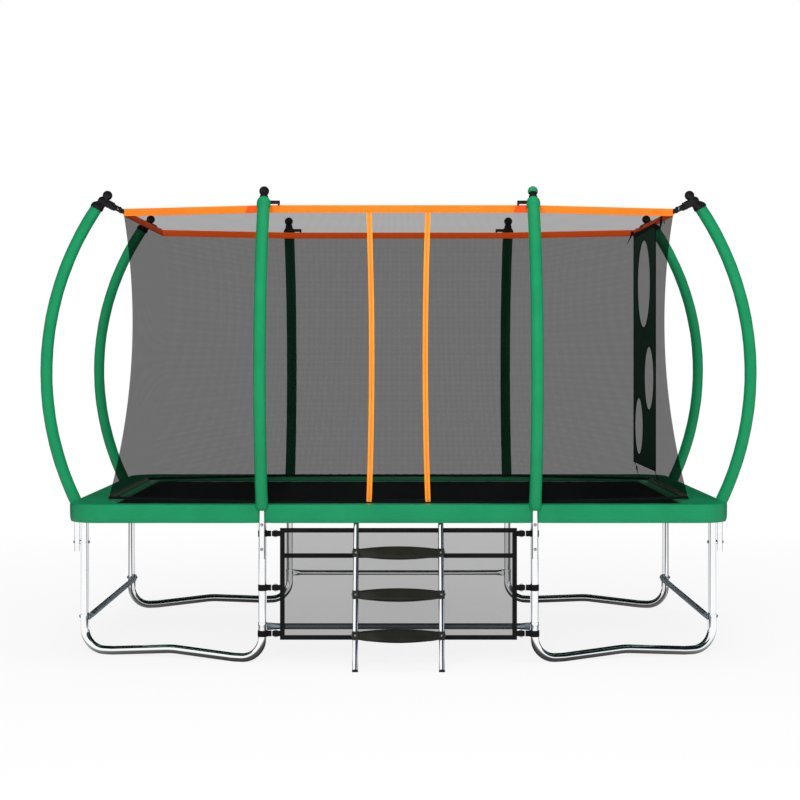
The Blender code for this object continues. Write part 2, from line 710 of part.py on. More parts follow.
def pad_profile():
    """Section of the pad: distance out from the rail's axis, and height."""
    outer = PAD_OVERHANG
    inner = outer - SKIRT_THICKNESS
    edge_top = PAD_EDGE_UNDER + PAD_EDGE
    seam = SEAM_INSET - PAD_WIDTH
    step = -HOOK_OUTER - PAD_STEP_PLAY
    plane = ((1, 0, 0), (0, 1, 0))
    round_centre = (outer - PAD_ROUND, PAD_TOP - PAD_ROUND, 0)
    rounded = arc(round_centre, PAD_ROUND, 0, pi / 2, PAD_ROUND_STEPS, plane)
    return (
        (outer - SKIRT_TUCK, SKIRT_BOTTOM),
        (outer, SKIRT_BOTTOM + SKIRT_TUCK_HEIGHT),
        *[(point.x, point.y) for point in rounded],
        (-PAD_CREST, PAD_TOP),
        (-PAD_SHOULDER, PAD_TOP - PAD_SHOULDER_DROP),
        (seam + SEAM_HALF_WIDTH, edge_top + SEAM_OUTER_RISE),
        (seam, edge_top + SEAM_FLOOR),
        (seam - SEAM_HALF_WIDTH, edge_top + SEAM_INNER_RISE),
        (-PAD_WIDTH, edge_top),
        (-PAD_WIDTH, PAD_EDGE_UNDER),
        (step - PAD_STEP_RUN, PAD_EDGE_UNDER),
        (step, PAD_UNDER),
        (inner - SKIRT_CORNER, PAD_UNDER),
        (inner, PAD_UNDER - SKIRT_CORNER),
        (inner - SKIRT_TUCK, SKIRT_BOTTOM),
    )


def make_pad():
    """Padded ring over the springs and the rail, with a skirt that is slit at each pole."""
    outline = rounded_outline(RAIL_HALF_LENGTH, RAIL_HALF_WIDTH, RAIL_CORNER_RADIUS, PAD_CORNER_STEPS)
    inner_x = RAIL_HALF_LENGTH - PAD_WIDTH
    inner_y = RAIL_HALF_WIDTH - PAD_WIDTH
    inner = rounded_outline(inner_x, inner_y, PAD_INNER_RADIUS, PAD_CORNER_STEPS)
    rings = []
    for (point, direction), (inner_point, _) in zip(outline, inner):
        ring = []
        for out, height in pad_profile():
            if out >= 0:
                place_at = point + direction * out
            else:
                place_at = point.lerp(inner_point, -out / PAD_WIDTH)
            ring.append(place_at + Vector((0, 0, height)))
        rings.append(ring)
    pad = loft("spring_pad", rings, closed=True, smooth_angle=50)
    lower, bow = pole_path()
    slit = POLE_RADIUS + SLIT_PLAY
    round_sleeve = SLEEVE_RADIUS + SLIT_PLAY / 2
    below = Vector((POLE_OUTBOARD, 0, SKIRT_BOTTOM - CUT_SPARE))
    lean = (bow[1] - bow[0]).normalized()
    shoulder = bow[0] - lean * SLIT_PLAY / 2
    stations = [(below, slit), (lower[1], slit), (shoulder, slit), (shoulder, round_sleeve)]
    stations.append((bow[1], round_sleeve))
    cutters = []
    for name, (x, y), turn in POSTS:
        cutter = tube("cutter", stations, (0, 1, 0), POLE_SIDES)
        cutter.transform(Matrix.Translation((x, y, 0)) @ Matrix.Rotation(radians(turn), 4, "Z"))
        cutters.append(cutter)
    return combine(pad, [("DIFFERENCE", join_meshes("cutters", cutters))], smooth_angle=50)


def band_x():
    """Distance from the middle to the net's band on the left and right sides."""
    top, along = pole_end()
    return RAIL_HALF_LENGTH + top.x - NET_SIDE_REACH


def net_outline(t):
    """Plan of the net at a share t of its height, anticlockwise from the door's left edge."""
    top, along = pole_end()
    waist = 4 * t * (1 - t)
    side_top = Vector((band_x(), SIDE_POST_OFFSET - NET_SIDE_SHIFT))
    middle_top = Vector((FRONT_POST_OFFSET, RAIL_HALF_WIDTH + top.x - NET_MIDDLE_REACH))
    side_foot = Vector((RAIL_HALF_LENGTH - NET_FOOT_INSET, SIDE_POST_OFFSET - NET_FOOT_SIDE_SHIFT))
    middle_foot = Vector((FRONT_POST_OFFSET + NET_FOOT_MIDDLE_SHIFT, RAIL_HALF_WIDTH - NET_FOOT_INSET))
    side = side_foot.lerp(side_top, t) - waist * Vector((NET_SIDE_DRAW_X, NET_SIDE_DRAW_Y))
    middle = middle_foot.lerp(middle_top, t) - waist * Vector((NET_MIDDLE_DRAW_X, NET_MIDDLE_DRAW_Y))
    door = DOOR_HALF_BOTTOM + (DOOR_HALF_TOP - DOOR_HALF_BOTTOM) * t - DOOR_DRAW * waist
    front = [(-door, -middle.y), (door, -middle.y)]
    right = [(middle.x, -middle.y), (side.x, -side.y), (side.x, side.y), (middle.x, middle.y)]
    left = [(-x, -y) for x, y in right]
    return [Vector(point) for point in front + right + left]


def offset_outline(outline, distance):
    """Move each side of an anticlockwise outline out by a distance, with mitred corners."""
    result = []
    count = len(outline)
    for i, point in enumerate(outline):
        before = (point - outline[i - 1]).normalized()
        after = (outline[(i + 1) % count] - point).normalized()
        first = Vector((before.y, -before.x))
        second = Vector((after.y, -after.x))
        result.append(point + (first + second) * distance / (1 + first.dot(second)))
    return result


def panel_ring(outline, members, half_thickness, height):
    """Closed ring of a net panel at one height, from its outer face to its inner one."""
    faces = []
    for distance in (half_thickness, -half_thickness):
        moved = offset_outline(outline, distance)
        line = [moved[i % len(moved)] for i in members]
        first = (line[1] - line[0]).normalized()
        last = (line[-1] - line[-2]).normalized()
        line[0] = line[0] + first * GAP / 2
        line[-1] = line[-1] - last * GAP / 2
        faces.append([Vector((p.x, p.y, height)) for p in line])
    return faces[0] + faces[1][::-1]


def make_net_panel(name, members):
    """Net between two poles, narrowing towards half its height, with its band on top."""
    band_bottom = NET_TOP - BAND_HEIGHT
    span = NET_TOP - NET_BOTTOM
    levels = [NET_BOTTOM + (band_bottom - NET_BOTTOM) * k / NET_LEVELS for k in range(NET_LEVELS + 1)]
    heights = [(level, NET_THICKNESS / 2) for level in levels]
    heights += [(band_bottom, BAND_THICKNESS / 2), (NET_TOP, BAND_THICKNESS / 2)]
    rings = []
    for height, half in heights:
        outline = net_outline((height - NET_BOTTOM) / span)
        rings.append(panel_ring(outline, members, half, height))
    return loft(name, rings)


def ladder_point(height):
    return Vector((0, -RAIL_HALF_WIDTH - LADDER_FOOT_REACH + LADDER_SLOPE * height, height))


def make_ladder_rail():
    """Ladder tube with a rubber foot, and a flat hook that lies over the front rail."""
    rail = Vector((0, -RAIL_HALF_WIDTH, RAIL_HEIGHT))
    along = Vector((0, LADDER_SLOPE, 1)).normalized()
    foot = ladder_point(0)
    end_distance = (rail - foot).dot(along) - HOOK_INNER - HOOK_THICKNESS / 2
    stations = [
        (foot, LADDER_FOOT_RADIUS),
        (foot + along * LADDER_FOOT_LENGTH, LADDER_FOOT_RADIUS),
        (foot + along * LADDER_FOOT_LENGTH, LADDER_RADIUS),
        (foot + along * end_distance, LADDER_RADIUS),
    ]
    rings = tube_rings(stations, (1, 0, 0), TUBE_SIDES)
    rings[0] = [point - along * (point.z / along.z) for point in rings[0]]
    body = loft("ladder_rail", rings)
    half = HOOK_WIDTH / 2
    hook_rings = []
    for k in range(HOOK_STEPS + 1):
        angle = HOOK_START + (HOOK_END - HOOK_START) * k / HOOK_STEPS
        direction = Vector((0, cos(angle), sin(angle)))
        ring = []
        for x, radius in ((-half, HOOK_INNER), (half, HOOK_INNER), (half, HOOK_OUTER), (-half, HOOK_OUTER)):
            ring.append(rail + direction * radius + Vector((x, 0, 0)))
        hook_rings.append(ring)
    hook = loft("hook", hook_rings)
    return combine(body, [("UNION", hook)])


def tread_section(x, half_height, depth, back):
    """Section of a step's tread: a sloping upper face, a rounded nose and a tucked-in lip."""
    shape = (
        (back, 0.95),
        (back - 0.35 * (depth + back), 1.0),
        (-0.8 * depth, 0.25),
        (-depth, -0.1),
        (-0.93 * depth, -0.45),
        (-0.6 * depth, -0.95),
        (-0.1 * depth, -1.0),
        (back, -0.75),
    )
    return [Vector((x, y, half_height * share)) for y, share in shape]


def block_section(x):
    """Section of a step's block, which has as many points as the tread."""
    shape = ((1, 0.95), (0.3, 1), (-0.6, 1), (-1, 0.7), (-1, -0.3), (-1, -0.8), (-0.3, -1), (1, -0.95))
    return [Vector((x, STEP_BLOCK_HALF_DEPTH * y, STEP_BLOCK_HALF_HEIGHT * z)) for y, z in shape]


def make_step(height):
    """Moulded step with a block round each ladder tube and a tread that swells to the front."""
    centre = ladder_point(height)
    inner = LADDER_HALF_WIDTH - STEP_BLOCK_HALF_WIDTH
    outer = LADDER_HALF_WIDTH + STEP_BLOCK_HALF_WIDTH
    half = [block_section(outer), block_section(inner)]
    for x in [inner - STEP_SHOULDER] + [inner * share for share in (0.75, 0.5, 0.25)] + [0]:
        swell = 1 - (x / inner) ** 2
        tall = STEP_END_HALF_HEIGHT + (STEP_MIDDLE_HALF_HEIGHT - STEP_END_HALF_HEIGHT) * swell
        depth = STEP_END_DEPTH + (STEP_MIDDLE_DEPTH - STEP_END_DEPTH) * swell
        half.append(tread_section(x, tall, depth, STEP_END_DEPTH))
    mirrored = [[Vector((-point.x, point.y, point.z)) for point in ring] for ring in half[:-1]]
    rings = [[centre + point for point in ring] for ring in half + mirrored[::-1]]
    step = loft("step", rings, smooth_angle=35)
    reach = STEP_BLOCK_HALF_HEIGHT + 2 * CUT_SPARE
    radius = around(LADDER_RADIUS, TUBE_SIDES)
    bores = []
    for x in (-LADDER_HALF_WIDTH, LADDER_HALF_WIDTH):
        side = Vector((x, 0, 0))
        ends = [ladder_point(height - reach) + side, ladder_point(height + reach) + side]
        bores.append(tube("bore", [(end, radius) for end in ends], (1, 0, 0)))
    return combine(step, [("DIFFERENCE", join_meshes("bores", bores))], smooth_angle=35)


def make_goal_net():
    """Net panel with a bordered edge and three straps round the leg on each side."""
    y = -RAIL_HALF_WIDTH
    half = GOAL_THICKNESS / 2
    thick = GOAL_BORDER_THICKNESS / 2
    width = FRONT_POST_OFFSET - GOAL_SIDE_GAP
    inner = width - GOAL_BORDER
    panel_low = (-inner - GOAL_HEM_LAP, y - half, GOAL_BOTTOM + GOAL_HEM_LAP)
    panel_high = (inner + GOAL_HEM_LAP, y + half, GOAL_TOP - GOAL_HEM_LAP)
    panel = box("panel", panel_low, panel_high)
    outline = box("outline", (-width, y - thick, GOAL_BOTTOM), (width, y + thick, GOAL_TOP))
    band_low = GOAL_CROSS_BAND - GOAL_BORDER / 2
    band_high = GOAL_CROSS_BAND + GOAL_BORDER / 2
    holes = []
    for low, high in ((GOAL_BOTTOM + GOAL_BORDER, band_low), (band_high, GOAL_TOP - GOAL_BORDER)):
        holes.append(box("hole", (-inner, y - CUT_SPARE, low), (inner, y + CUT_SPARE, high)))
    steps = [("DIFFERENCE", join_meshes("holes", holes)), ("UNION", panel)]
    rise = Vector((0, 0, STRAP_HALF_HEIGHT))
    for side in (-1, 1):
        for height, radius in zip(STRAP_HEIGHTS, (BASE_RADIUS, UPRIGHT_RADIUS, UPRIGHT_RADIUS)):
            post = Vector((side * FRONT_POST_OFFSET, y, height))
            inside = turned_bore(radius, STRAP_SIDES)
            outside = inside + STRAP_THICKNESS
            ends = (post - rise, post + rise)
            loop = tube_rings([(end, outside) for end in ends], (0, 1, 0), STRAP_SIDES)
            loop += tube_rings([(end, inside) for end in ends], (0, 1, 0), STRAP_SIDES)[::-1]
            steps.append(("UNION", loft("loop", loop, closed=True)))
            near = post.x - side * (flat_to_flat(outside, STRAP_SIDES) - STRAP_THICKNESS / 2)
            far = side * (width - STRAP_LAP)
            low = (min(near, far), y - STRAP_NECK_HALF_THICKNESS, height - STRAP_NECK_HALF_HEIGHT)
            high = (max(near, far), y + STRAP_NECK_HALF_THICKNESS, height + STRAP_NECK_HALF_HEIGHT)
            steps.append(("UNION", box("neck", low, high)))
    return combine(outline, steps)


def strip(name, path, y, half_width, half_thickness):
    """Flat strap along a path in the XZ plane."""
    points = [Vector((x, 0, z)) for x, z in path]
    rings = []
    for point, along in zip(points, tangents(points)):
        square = Vector((along.z, 0, -along.x))
        middle = point + Vector((0, y, 0))
        wide = Vector((0, half_width, 0))
        thick = square * half_thickness
        rings.append([middle + wide * a + thick * b for a, b in CORNER_SIGNS])
    return loft(name, rings)


def make_target():
    """Panel with three round holes, hung from the band and strapped down to the pad."""
    half = TARGET_THICKNESS / 2
    band = band_x()
    middle = band - TARGET_INSET
    low = (middle - half, TARGET_FRONT_Y, TARGET_BOTTOM)
    high = (middle + half, TARGET_REAR_Y, TARGET_TOP)
    panel = box("panel", low, high)
    holes = []
    for y, share, radius in zip(HOLE_PLACES, HOLE_HEIGHT_SHARES, HOLE_RADII):
        z = TARGET_BOTTOM + (TARGET_TOP - TARGET_BOTTOM) * share
        ends = [Vector((middle - CUT_SPARE, y, z)), Vector((middle + CUT_SPARE, y, z))]
        holes.append(tube("hole", [(end, radius) for end in ends], (0, 1, 0), HOLE_SIDES))
    clear = BAND_THICKNESS / 2 + TARGET_STRAP_HALF_THICKNESS + GAP
    over = NET_TOP + TARGET_STRAP_HALF_THICKNESS + GAP
    hang = (
        (middle, TARGET_TOP - TARGET_STRAP_LAP),
        (middle, TARGET_TOP),
        (band - clear - TARGET_STRAP_FLARE, NET_TOP - TARGET_STRAP_FLARE_DROP),
        (band - clear, over),
        (band + clear, over),
        (band + clear, NET_TOP - TARGET_STRAP_TAIL),
    )
    tie = (
        (middle, TARGET_BOTTOM + TARGET_STRAP_LAP),
        (middle, TARGET_BOTTOM),
        (RAIL_HALF_LENGTH - TARGET_TIE_INSET, PAD_TOP + TARGET_STRAP_HALF_THICKNESS),
    )
    straps = []
    size = (TARGET_STRAP_HALF_WIDTH, TARGET_STRAP_HALF_THICKNESS)
    for y in (TARGET_FRONT_Y + TARGET_STRAP_INSET, TARGET_REAR_Y - TARGET_STRAP_INSET):
        straps += [strip("strap", path, y, *size) for path in (hang, tie)]
    steps = [("DIFFERENCE", join_meshes("holes", holes)), ("UNION", join_meshes("straps", straps))]
    return combine(panel, steps)


def build_frame(steel, brace_steel):
    quarters = (
        ("rail_front_right", (RAIL_HALF_LENGTH, RAIL_HALF_WIDTH), False, 0),
        ("rail_rear_right", (RAIL_HALF_WIDTH, RAIL_HALF_LENGTH), True, 0),
        ("rail_rear_left", (RAIL_HALF_LENGTH, RAIL_HALF_WIDTH), False, 180),
        ("rail_front_left", (RAIL_HALF_WIDTH, RAIL_HALF_LENGTH), True, 180),
    )
    for name, toward, turned, turn in quarters:
        place(name, make_rail(name, toward, turned), steel, turn=turn)
    upright = make_upright()
    for name, (x, y), turn in POSTS:
        place("upright_" + name, upright, steel, (x, y, 0), turn)
    legs = (
        ("base_front_right", "right_front", "front_right"),
        ("base_rear_right", "right_rear", "rear_right"),
        ("base_rear_left", "left_rear", "rear_left"),
        ("base_front_left", "left_front", "front_left"),
    )
    spots = {name: Vector((x, y, 0)) for name, (x, y), turn in POSTS}
    length = (spots["right_front"] - spots["front_right"]).length
    base = make_base(length)
    for name, first, second in legs:
        run = spots[second] - spots[first]
        turn = Vector((1, 0)).angle_signed(run.to_2d()) * -180 / pi
        place(name, base, steel, spots[first], turn)
    long_brace = make_brace(FRONT_POST_OFFSET)
    short_brace = make_brace(SIDE_POST_OFFSET)
    braces = (
        ("brace_front", long_brace, (0, -RAIL_HALF_WIDTH + BRACE_OFFSET, BRACE_HEIGHT), 0),
        ("brace_rear", long_brace, (0, RAIL_HALF_WIDTH + BRACE_OFFSET, BRACE_HEIGHT), 0),
        ("brace_left", short_brace, (-RAIL_HALF_LENGTH + BRACE_OFFSET, 0, SIDE_BRACE_HEIGHT), 90),
        ("brace_right", short_brace, (RAIL_HALF_LENGTH - BRACE_OFFSET, 0, SIDE_BRACE_HEIGHT), 90),
    )
    for name, mesh, location, turn in braces:
        place(name, mesh, brace_steel, location, turn)


def build_poles(steel, foam, plastic):
    pole = make_pole()
    sleeve = make_sleeve()
    caps = {}
    for name, (x, y), turn in POSTS:
        place("pole_" + name, pole, steel, (x, y, 0), turn)
        place("sleeve_" + name, sleeve, foam, (x, y, 0), turn)
        side_post = turn in (0, 180)
        shift_sign = 0
        if side_post:
            shift_sign = 1 if (y < 0) == (turn == 0) else -1
        if shift_sign not in caps:
            caps[shift_sign] = make_cap(side_post, shift_sign)
        place("cap_" + name, caps[shift_sign], plastic, (x, y, 0), turn)


def build_bed(fabric, steel, vinyl):
    place("jumping_mat", make_mat(), fabric)
    place("springs", make_springs(), steel)
    place("spring_pad", make_pad(), vinyl)


def build_net(mesh_fabric):
    panels = (
        ("net_front_right", (1, 2, 3)),
        ("net_right", (3, 4)),
        ("net_rear", (4, 5, 6, 7)),
        ("net_left", (7, 8)),
        ("net_front_left", (8, 9, 10)),
    )
    for name, members in panels:
        place(name, make_net_panel(name, members), mesh_fabric)
    outer_y = max(-net_outline(t)[0].y for t in (0, 1)) + BAND_THICKNESS / 2
    hinge = bpy.data.objects.new("door_hinge", None)
    bpy.context.scene.collection.objects.link(hinge)
    hinge.location = (-DOOR_HALF_TOP, -outer_y, 0)
    door_mesh = make_net_panel("net_door", (0, 1))
    door_mesh.transform(Matrix.Translation(-hinge.location))
    door = place("net_door", door_mesh, mesh_fabric)
    door.parent = hinge


def build_ladder(steel, plastic):
    hinge = bpy.data.objects.new("ladder_hinge", None)
    bpy.context.scene.collection.objects.link(hinge)
    hinge.location = (0, -RAIL_HALF_WIDTH, RAIL_HEIGHT)
    rail_mesh = make_ladder_rail()
    rail_mesh.transform(Matrix.Translation(-hinge.location))
    for name, x in (("ladder_rail_left", -LADDER_HALF_WIDTH), ("ladder_rail_right", LADDER_HALF_WIDTH)):
        place(name, rail_mesh, steel, (x, 0, 0)).parent = hinge
    for name, height in zip(("step_low", "step_middle", "step_high"), STEP_HEIGHTS):
        mesh = make_step(height)
        mesh.transform(Matrix.Translation(-hinge.location))
        place(name, mesh, plastic).parent = hinge


def main():
    clear_scene()
    steel = make_material("galvanised_steel", (0.72, 0.74, 0.77), 1.0, 0.22)
    brace_steel = make_material("brace_steel", (0.42, 0.47, 0.52), 1.0, 0.35)
    foam = make_material("green_foam_sleeve", (0.02, 0.29, 0.12), 0.0, 0.55)
    vinyl = make_material("green_vinyl_pad", (0.02, 0.3, 0.13), 0.0, 0.45)
    fabric = make_material("black_mat_fabric", (0.012, 0.014, 0.015), 0.0, 0.8)
    plastic = make_material("black_plastic", (0.02, 0.02, 0.018), 0.0, 0.45)
    mesh_fabric = make_material("black_net_mesh", (0.05, 0.05, 0.05), 0.0, 0.8)
    goal_fabric = make_material("grey_goal_mesh", (0.4, 0.4, 0.4), 0.0, 0.8)
    target_fabric = make_material("dark_green_canvas", (0.012, 0.04, 0.024), 0.0, 0.7)
    build_frame(steel, brace_steel)
    build_poles(steel, foam, plastic)
    build_bed(fabric, steel, vinyl)
    build_net(mesh_fabric)
    build_ladder(steel, plastic)
    place("goal_net", make_goal_net(), goal_fabric)
    place("target_panel", make_target(), target_fabric)


main()
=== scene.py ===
from math import acos, asin, atan2, ceil, cos, exp, pi, radians, sin

import bpy
from mathutils import Matrix, Vector


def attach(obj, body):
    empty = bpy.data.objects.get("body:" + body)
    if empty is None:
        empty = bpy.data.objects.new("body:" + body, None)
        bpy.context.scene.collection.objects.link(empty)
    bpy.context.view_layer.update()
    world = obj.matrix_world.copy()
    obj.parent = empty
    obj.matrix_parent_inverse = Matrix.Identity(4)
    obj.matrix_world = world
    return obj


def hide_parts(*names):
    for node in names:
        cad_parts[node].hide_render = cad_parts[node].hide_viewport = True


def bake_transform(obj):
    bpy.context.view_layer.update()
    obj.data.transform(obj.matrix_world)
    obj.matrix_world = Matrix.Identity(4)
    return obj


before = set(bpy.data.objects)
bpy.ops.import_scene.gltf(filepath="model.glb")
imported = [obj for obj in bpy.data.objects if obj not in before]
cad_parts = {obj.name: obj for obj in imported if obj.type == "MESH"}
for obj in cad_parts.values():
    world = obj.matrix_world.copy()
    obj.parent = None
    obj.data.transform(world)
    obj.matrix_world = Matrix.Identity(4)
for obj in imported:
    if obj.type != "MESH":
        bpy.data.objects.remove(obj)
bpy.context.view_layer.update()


print("frame loaded:", len(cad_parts), "nodes")

# Sizes that several pieces share, in metres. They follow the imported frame.
trampoline = {
    "halfLength": 1.806,          # middle of the frame to the rail's centre line, along X
    "halfWidth": 1.196,
    "railHeight": 0.845,
    "railRadius": 0.0225,
    "cornerRadius": 0.135,
    "sidePost": 0.8705,           # middle to the posts on the left and right sides, along Y
    "frontPost": 0.7567,          # middle to the posts on the front and rear, along X
    "tubeRadius": 0.0225,
    "socketHeight": 0.225,
    "play": 0.0003,
}
railX, railY, railZ = (trampoline[key] for key in ("halfLength", "halfWidth", "railHeight"))
postX, postY = trampoline["frontPost"], trampoline["sidePost"]
posts = {
    "right_front": (railX, -postY, 0), "right_rear": (railX, postY, 0),
    "rear_right": (postX, railY, 90), "rear_left": (-postX, railY, 90),
    "left_rear": (-railX, postY, 180), "left_front": (-railX, -postY, 180),
    "front_left": (-postX, -railY, 270), "front_right": (postX, -railY, 270),
}


def postMatrix(post):
    # turns a piece made beside the origin, with +X away from the frame, to its post
    x, y, turn = posts[post]
    return Matrix.Translation((x, y, 0)) @ Matrix.Rotation(radians(turn), 4, "Z")


def addNode(tree, kind, **settings):
    # a socket is linked, any other value goes to the input or the setting of that name
    node = tree.nodes.new(kind)
    for key, value in settings.items():
        if isinstance(value, bpy.types.NodeSocket):
            tree.links.new(value, node.inputs[key])
        elif key in node.inputs:
            node.inputs[key].default_value = value
        else:
            setattr(node, key, value)
    return node


def wire(tree, source, target):
    tree.links.new(source, target)


def mathNode(tree, operation, *values):
    node = addNode(tree, "ShaderNodeMath", operation=operation)
    for socket, value in zip(node.inputs, values):
        if isinstance(value, (int, float)):
            socket.default_value = value
        else:
            wire(tree, value, socket)
    return node.outputs[0]


def mapRange(tree, source, start, end, first, last, smooth=True):
    limits = {"From Min": start, "From Max": end, "To Min": first, "To Max": last}
    node = addNode(tree, "ShaderNodeMapRange", Value=source, **limits)
    node.interpolation_type = "SMOOTHSTEP" if smooth else "LINEAR"
    return node.outputs["Result"]


def newGroup(name, inputs, output):
    # inputs as name and default: None makes a vector, a tuple makes a colour
    tree = bpy.data.node_groups.new(name, "ShaderNodeTree")
    for label, value in inputs.items():
        kind = "Vector" if value is None else "Color" if isinstance(value, tuple) else "Float"
        socket = tree.interface.new_socket(label, in_out="INPUT", socket_type="NodeSocket" + kind)
        if value is not None:
            socket.default_value = value
    kind = "Color" if output == "Color" else "Float"
    tree.interface.new_socket(output, in_out="OUTPUT", socket_type="NodeSocket" + kind)
    return tree, tree.nodes.new("NodeGroupInput").outputs, tree.nodes.new("NodeGroupOutput").inputs[0]


def buildCloudGroup():
    # soft uneven patches, for handling marks, dust and colour variation
    inputs = {"Vector": None, "Scale": 6.0, "Low": 0.35, "High": 0.7}
    tree, given, made = newGroup("uneven patches", inputs, "Mask")
    noise = addNode(tree, "ShaderNodeTexNoise", Vector=given["Vector"], Scale=given["Scale"],
                    Detail=5.0, Roughness=0.6)
    wire(tree, mapRange(tree, noise.outputs["Fac"], given["Low"], given["High"], 0.0, 1.0), made)
    return tree


def buildTintGroup():
    # two colours mixed by a mask
    inputs = {"Mask": 0.5, "First": (0.5, 0.5, 0.5, 1), "Second": (0.4, 0.4, 0.4, 1)}
    tree, given, made = newGroup("two tones", inputs, "Color")
    mix = addNode(tree, "ShaderNodeMix", data_type="RGBA")
    for number, label in ((0, "Mask"), (6, "First"), (7, "Second")):
        wire(tree, given[label], mix.inputs[number])
    wire(tree, mix.outputs[2], made)
    return tree


def threadWaves(tree, given, kind):
    # a wave along each of two axes, one turn for each thread
    parts = addNode(tree, "ShaderNodeSeparateXYZ", Vector=given["Vector"])
    waves = []
    for axis in ("X", "Y"):
        turns = mathNode(tree, "DIVIDE", parts.outputs[axis], given["Pitch"])
        waves.append(mathNode(tree, kind, mathNode(tree, "MULTIPLY", turns, 2 * pi)))
    return waves


def buildThreadGroup():
    # square mesh of threads: 1 on a thread, 0 in a hole
    inputs = {"Vector": None, "Pitch": 0.008, "Thread": 0.3, "Blur": 0.2}
    tree, given, made = newGroup("threads", inputs, "Mask")
    rows = [mathNode(tree, "MULTIPLY_ADD", wave, 0.5, 0.5) for wave in threadWaves(tree, given, "COSINE")]
    edge = mathNode(tree, "SUBTRACT", 1.0, given["Thread"])
    low = mathNode(tree, "SUBTRACT", edge, given["Blur"])
    high = mathNode(tree, "ADD", edge, given["Blur"])
    wire(tree, mapRange(tree, mathNode(tree, "MAXIMUM", *rows), low, high, 0.0, 1.0), made)
    return tree


def buildWeaveGroup():
    # plain weave: threads that pass over and under each other
    tree, given, made = newGroup("plain weave", {"Vector": None, "Pitch": 0.004}, "Height")
    product = mathNode(tree, "MULTIPLY", *threadWaves(tree, given, "SINE"))
    wire(tree, mathNode(tree, "MULTIPLY_ADD", product, 0.5, 0.5), made)
    return tree


def buildCreaseGroup():
    # soft creases and a fine grain, as one height
    inputs = {"Vector": None, "Scale": 8.0, "Fine": 900.0, "Grain": 0.15}
    tree, given, made = newGroup("creases", inputs, "Height")
    broad = addNode(tree, "ShaderNodeTexNoise", Vector=given["Vector"], Scale=given["Scale"],
                    Detail=3.0, Roughness=0.55, Distortion=0.6)
    fine = addNode(tree, "ShaderNodeTexNoise", Vector=given["Vector"], Scale=given["Fine"], Detail=2.0)
    grain = mathNode(tree, "MULTIPLY", fine.outputs["Fac"], given["Grain"])
    wire(tree, mathNode(tree, "ADD", broad.outputs["Fac"], grain), made)
    return tree


cloudGroup = buildCloudGroup()
tintGroup = buildTintGroup()
threadGroup = buildThreadGroup()
weaveGroup = buildWeaveGroup()
creaseGroup = buildCreaseGroup()


def placeGroup(tree, group, **values):
    return addNode(tree, "ShaderNodeGroup", node_tree=group, **values).outputs[0]


def newMaterial(name, metallic=0.0, roughness=0.5, specular=0.5):
    material = bpy.data.materials.new(name)
    material.use_nodes = True
    shader = material.node_tree.nodes["Principled BSDF"]
    for key, value in (("Metallic", metallic), ("Roughness", roughness), ("Specular IOR Level", specular)):
        shader.inputs[key].default_value = value
    return material, material.node_tree, shader.inputs


def coordinates(tree, source="Object"):
    return addNode(tree, "ShaderNodeTexCoord").outputs[source]


def addTint(tree, shader, mask, first, second):
    tint = placeGroup(tree, tintGroup, Mask=mask, First=(*first, 1), Second=(*second, 1))
    wire(tree, tint, shader["Base Color"])


def addBump(tree, shader, height, distance):
    bump = addNode(tree, "ShaderNodeBump", Height=height, Distance=distance, Strength=1.0)
    wire(tree, bump.outputs["Normal"], shader["Normal"])


# for each kind: patches of tone (scale, low, high) and of sheen (scale), creases and grain
solidKinds = {
    "metal": {"metallic": 1.0, "specular": 0.5, "tone": (9.0, 0.4, 0.8), "sheen": 22.0,
              "crease": 60.0, "fine": 1400.0, "grain": 0.4, "depth": 0.00004},
    "plastic": {"metallic": 0.0, "specular": 0.18, "tone": (14.0, 0.35, 0.7), "sheen": 30.0,
                "crease": 120.0, "fine": 2200.0, "grain": 0.6, "depth": 0.00012},
    "vinyl": {"metallic": 0.0, "specular": 0.14, "tone": (5.0, 0.3, 0.75), "sheen": 12.0,
              "fine": 700.0, "grain": 0.015},
}


def solidMaterial(kind, name, light, dark, shiny, dull, **changes):
    values = {**solidKinds[kind], **changes}
    material, tree, shader = newMaterial(name, values["metallic"], specular=values["specular"])
    vector = coordinates(tree)
    scale, low, high = values["tone"]
    cloud = placeGroup(tree, cloudGroup, Vector=vector, Scale=scale, Low=low, High=high)
    addTint(tree, shader, cloud, light, dark)
    marks = placeGroup(tree, cloudGroup, Vector=vector, Scale=values["sheen"], Low=0.3, High=0.75)
    wire(tree, mapRange(tree, marks, 0.0, 1.0, shiny, dull, smooth=False), shader["Roughness"])
    if values["depth"]:
        crease = placeGroup(tree, creaseGroup, Vector=vector, Scale=values["crease"],
                            Fine=values["fine"], Grain=values["grain"])
        addBump(tree, shader, crease, values["depth"])
    return material


def clothMaterial(name, light, dark, pitch, depth, roughness=0.85, source="Object"):
    material, tree, shader = newMaterial(name, roughness=roughness, specular=0.05)
    weave = placeGroup(tree, weaveGroup, Vector=coordinates(tree, source), Pitch=pitch)
    cloud = placeGroup(tree, cloudGroup, Vector=coordinates(tree), Scale=4.0)
    half = mathNode(tree, "MULTIPLY", weave, 0.5)
    addTint(tree, shader, mathNode(tree, "MULTIPLY_ADD", cloud, 0.5, half), light, dark)
    addBump(tree, shader, weave, depth)
    return material


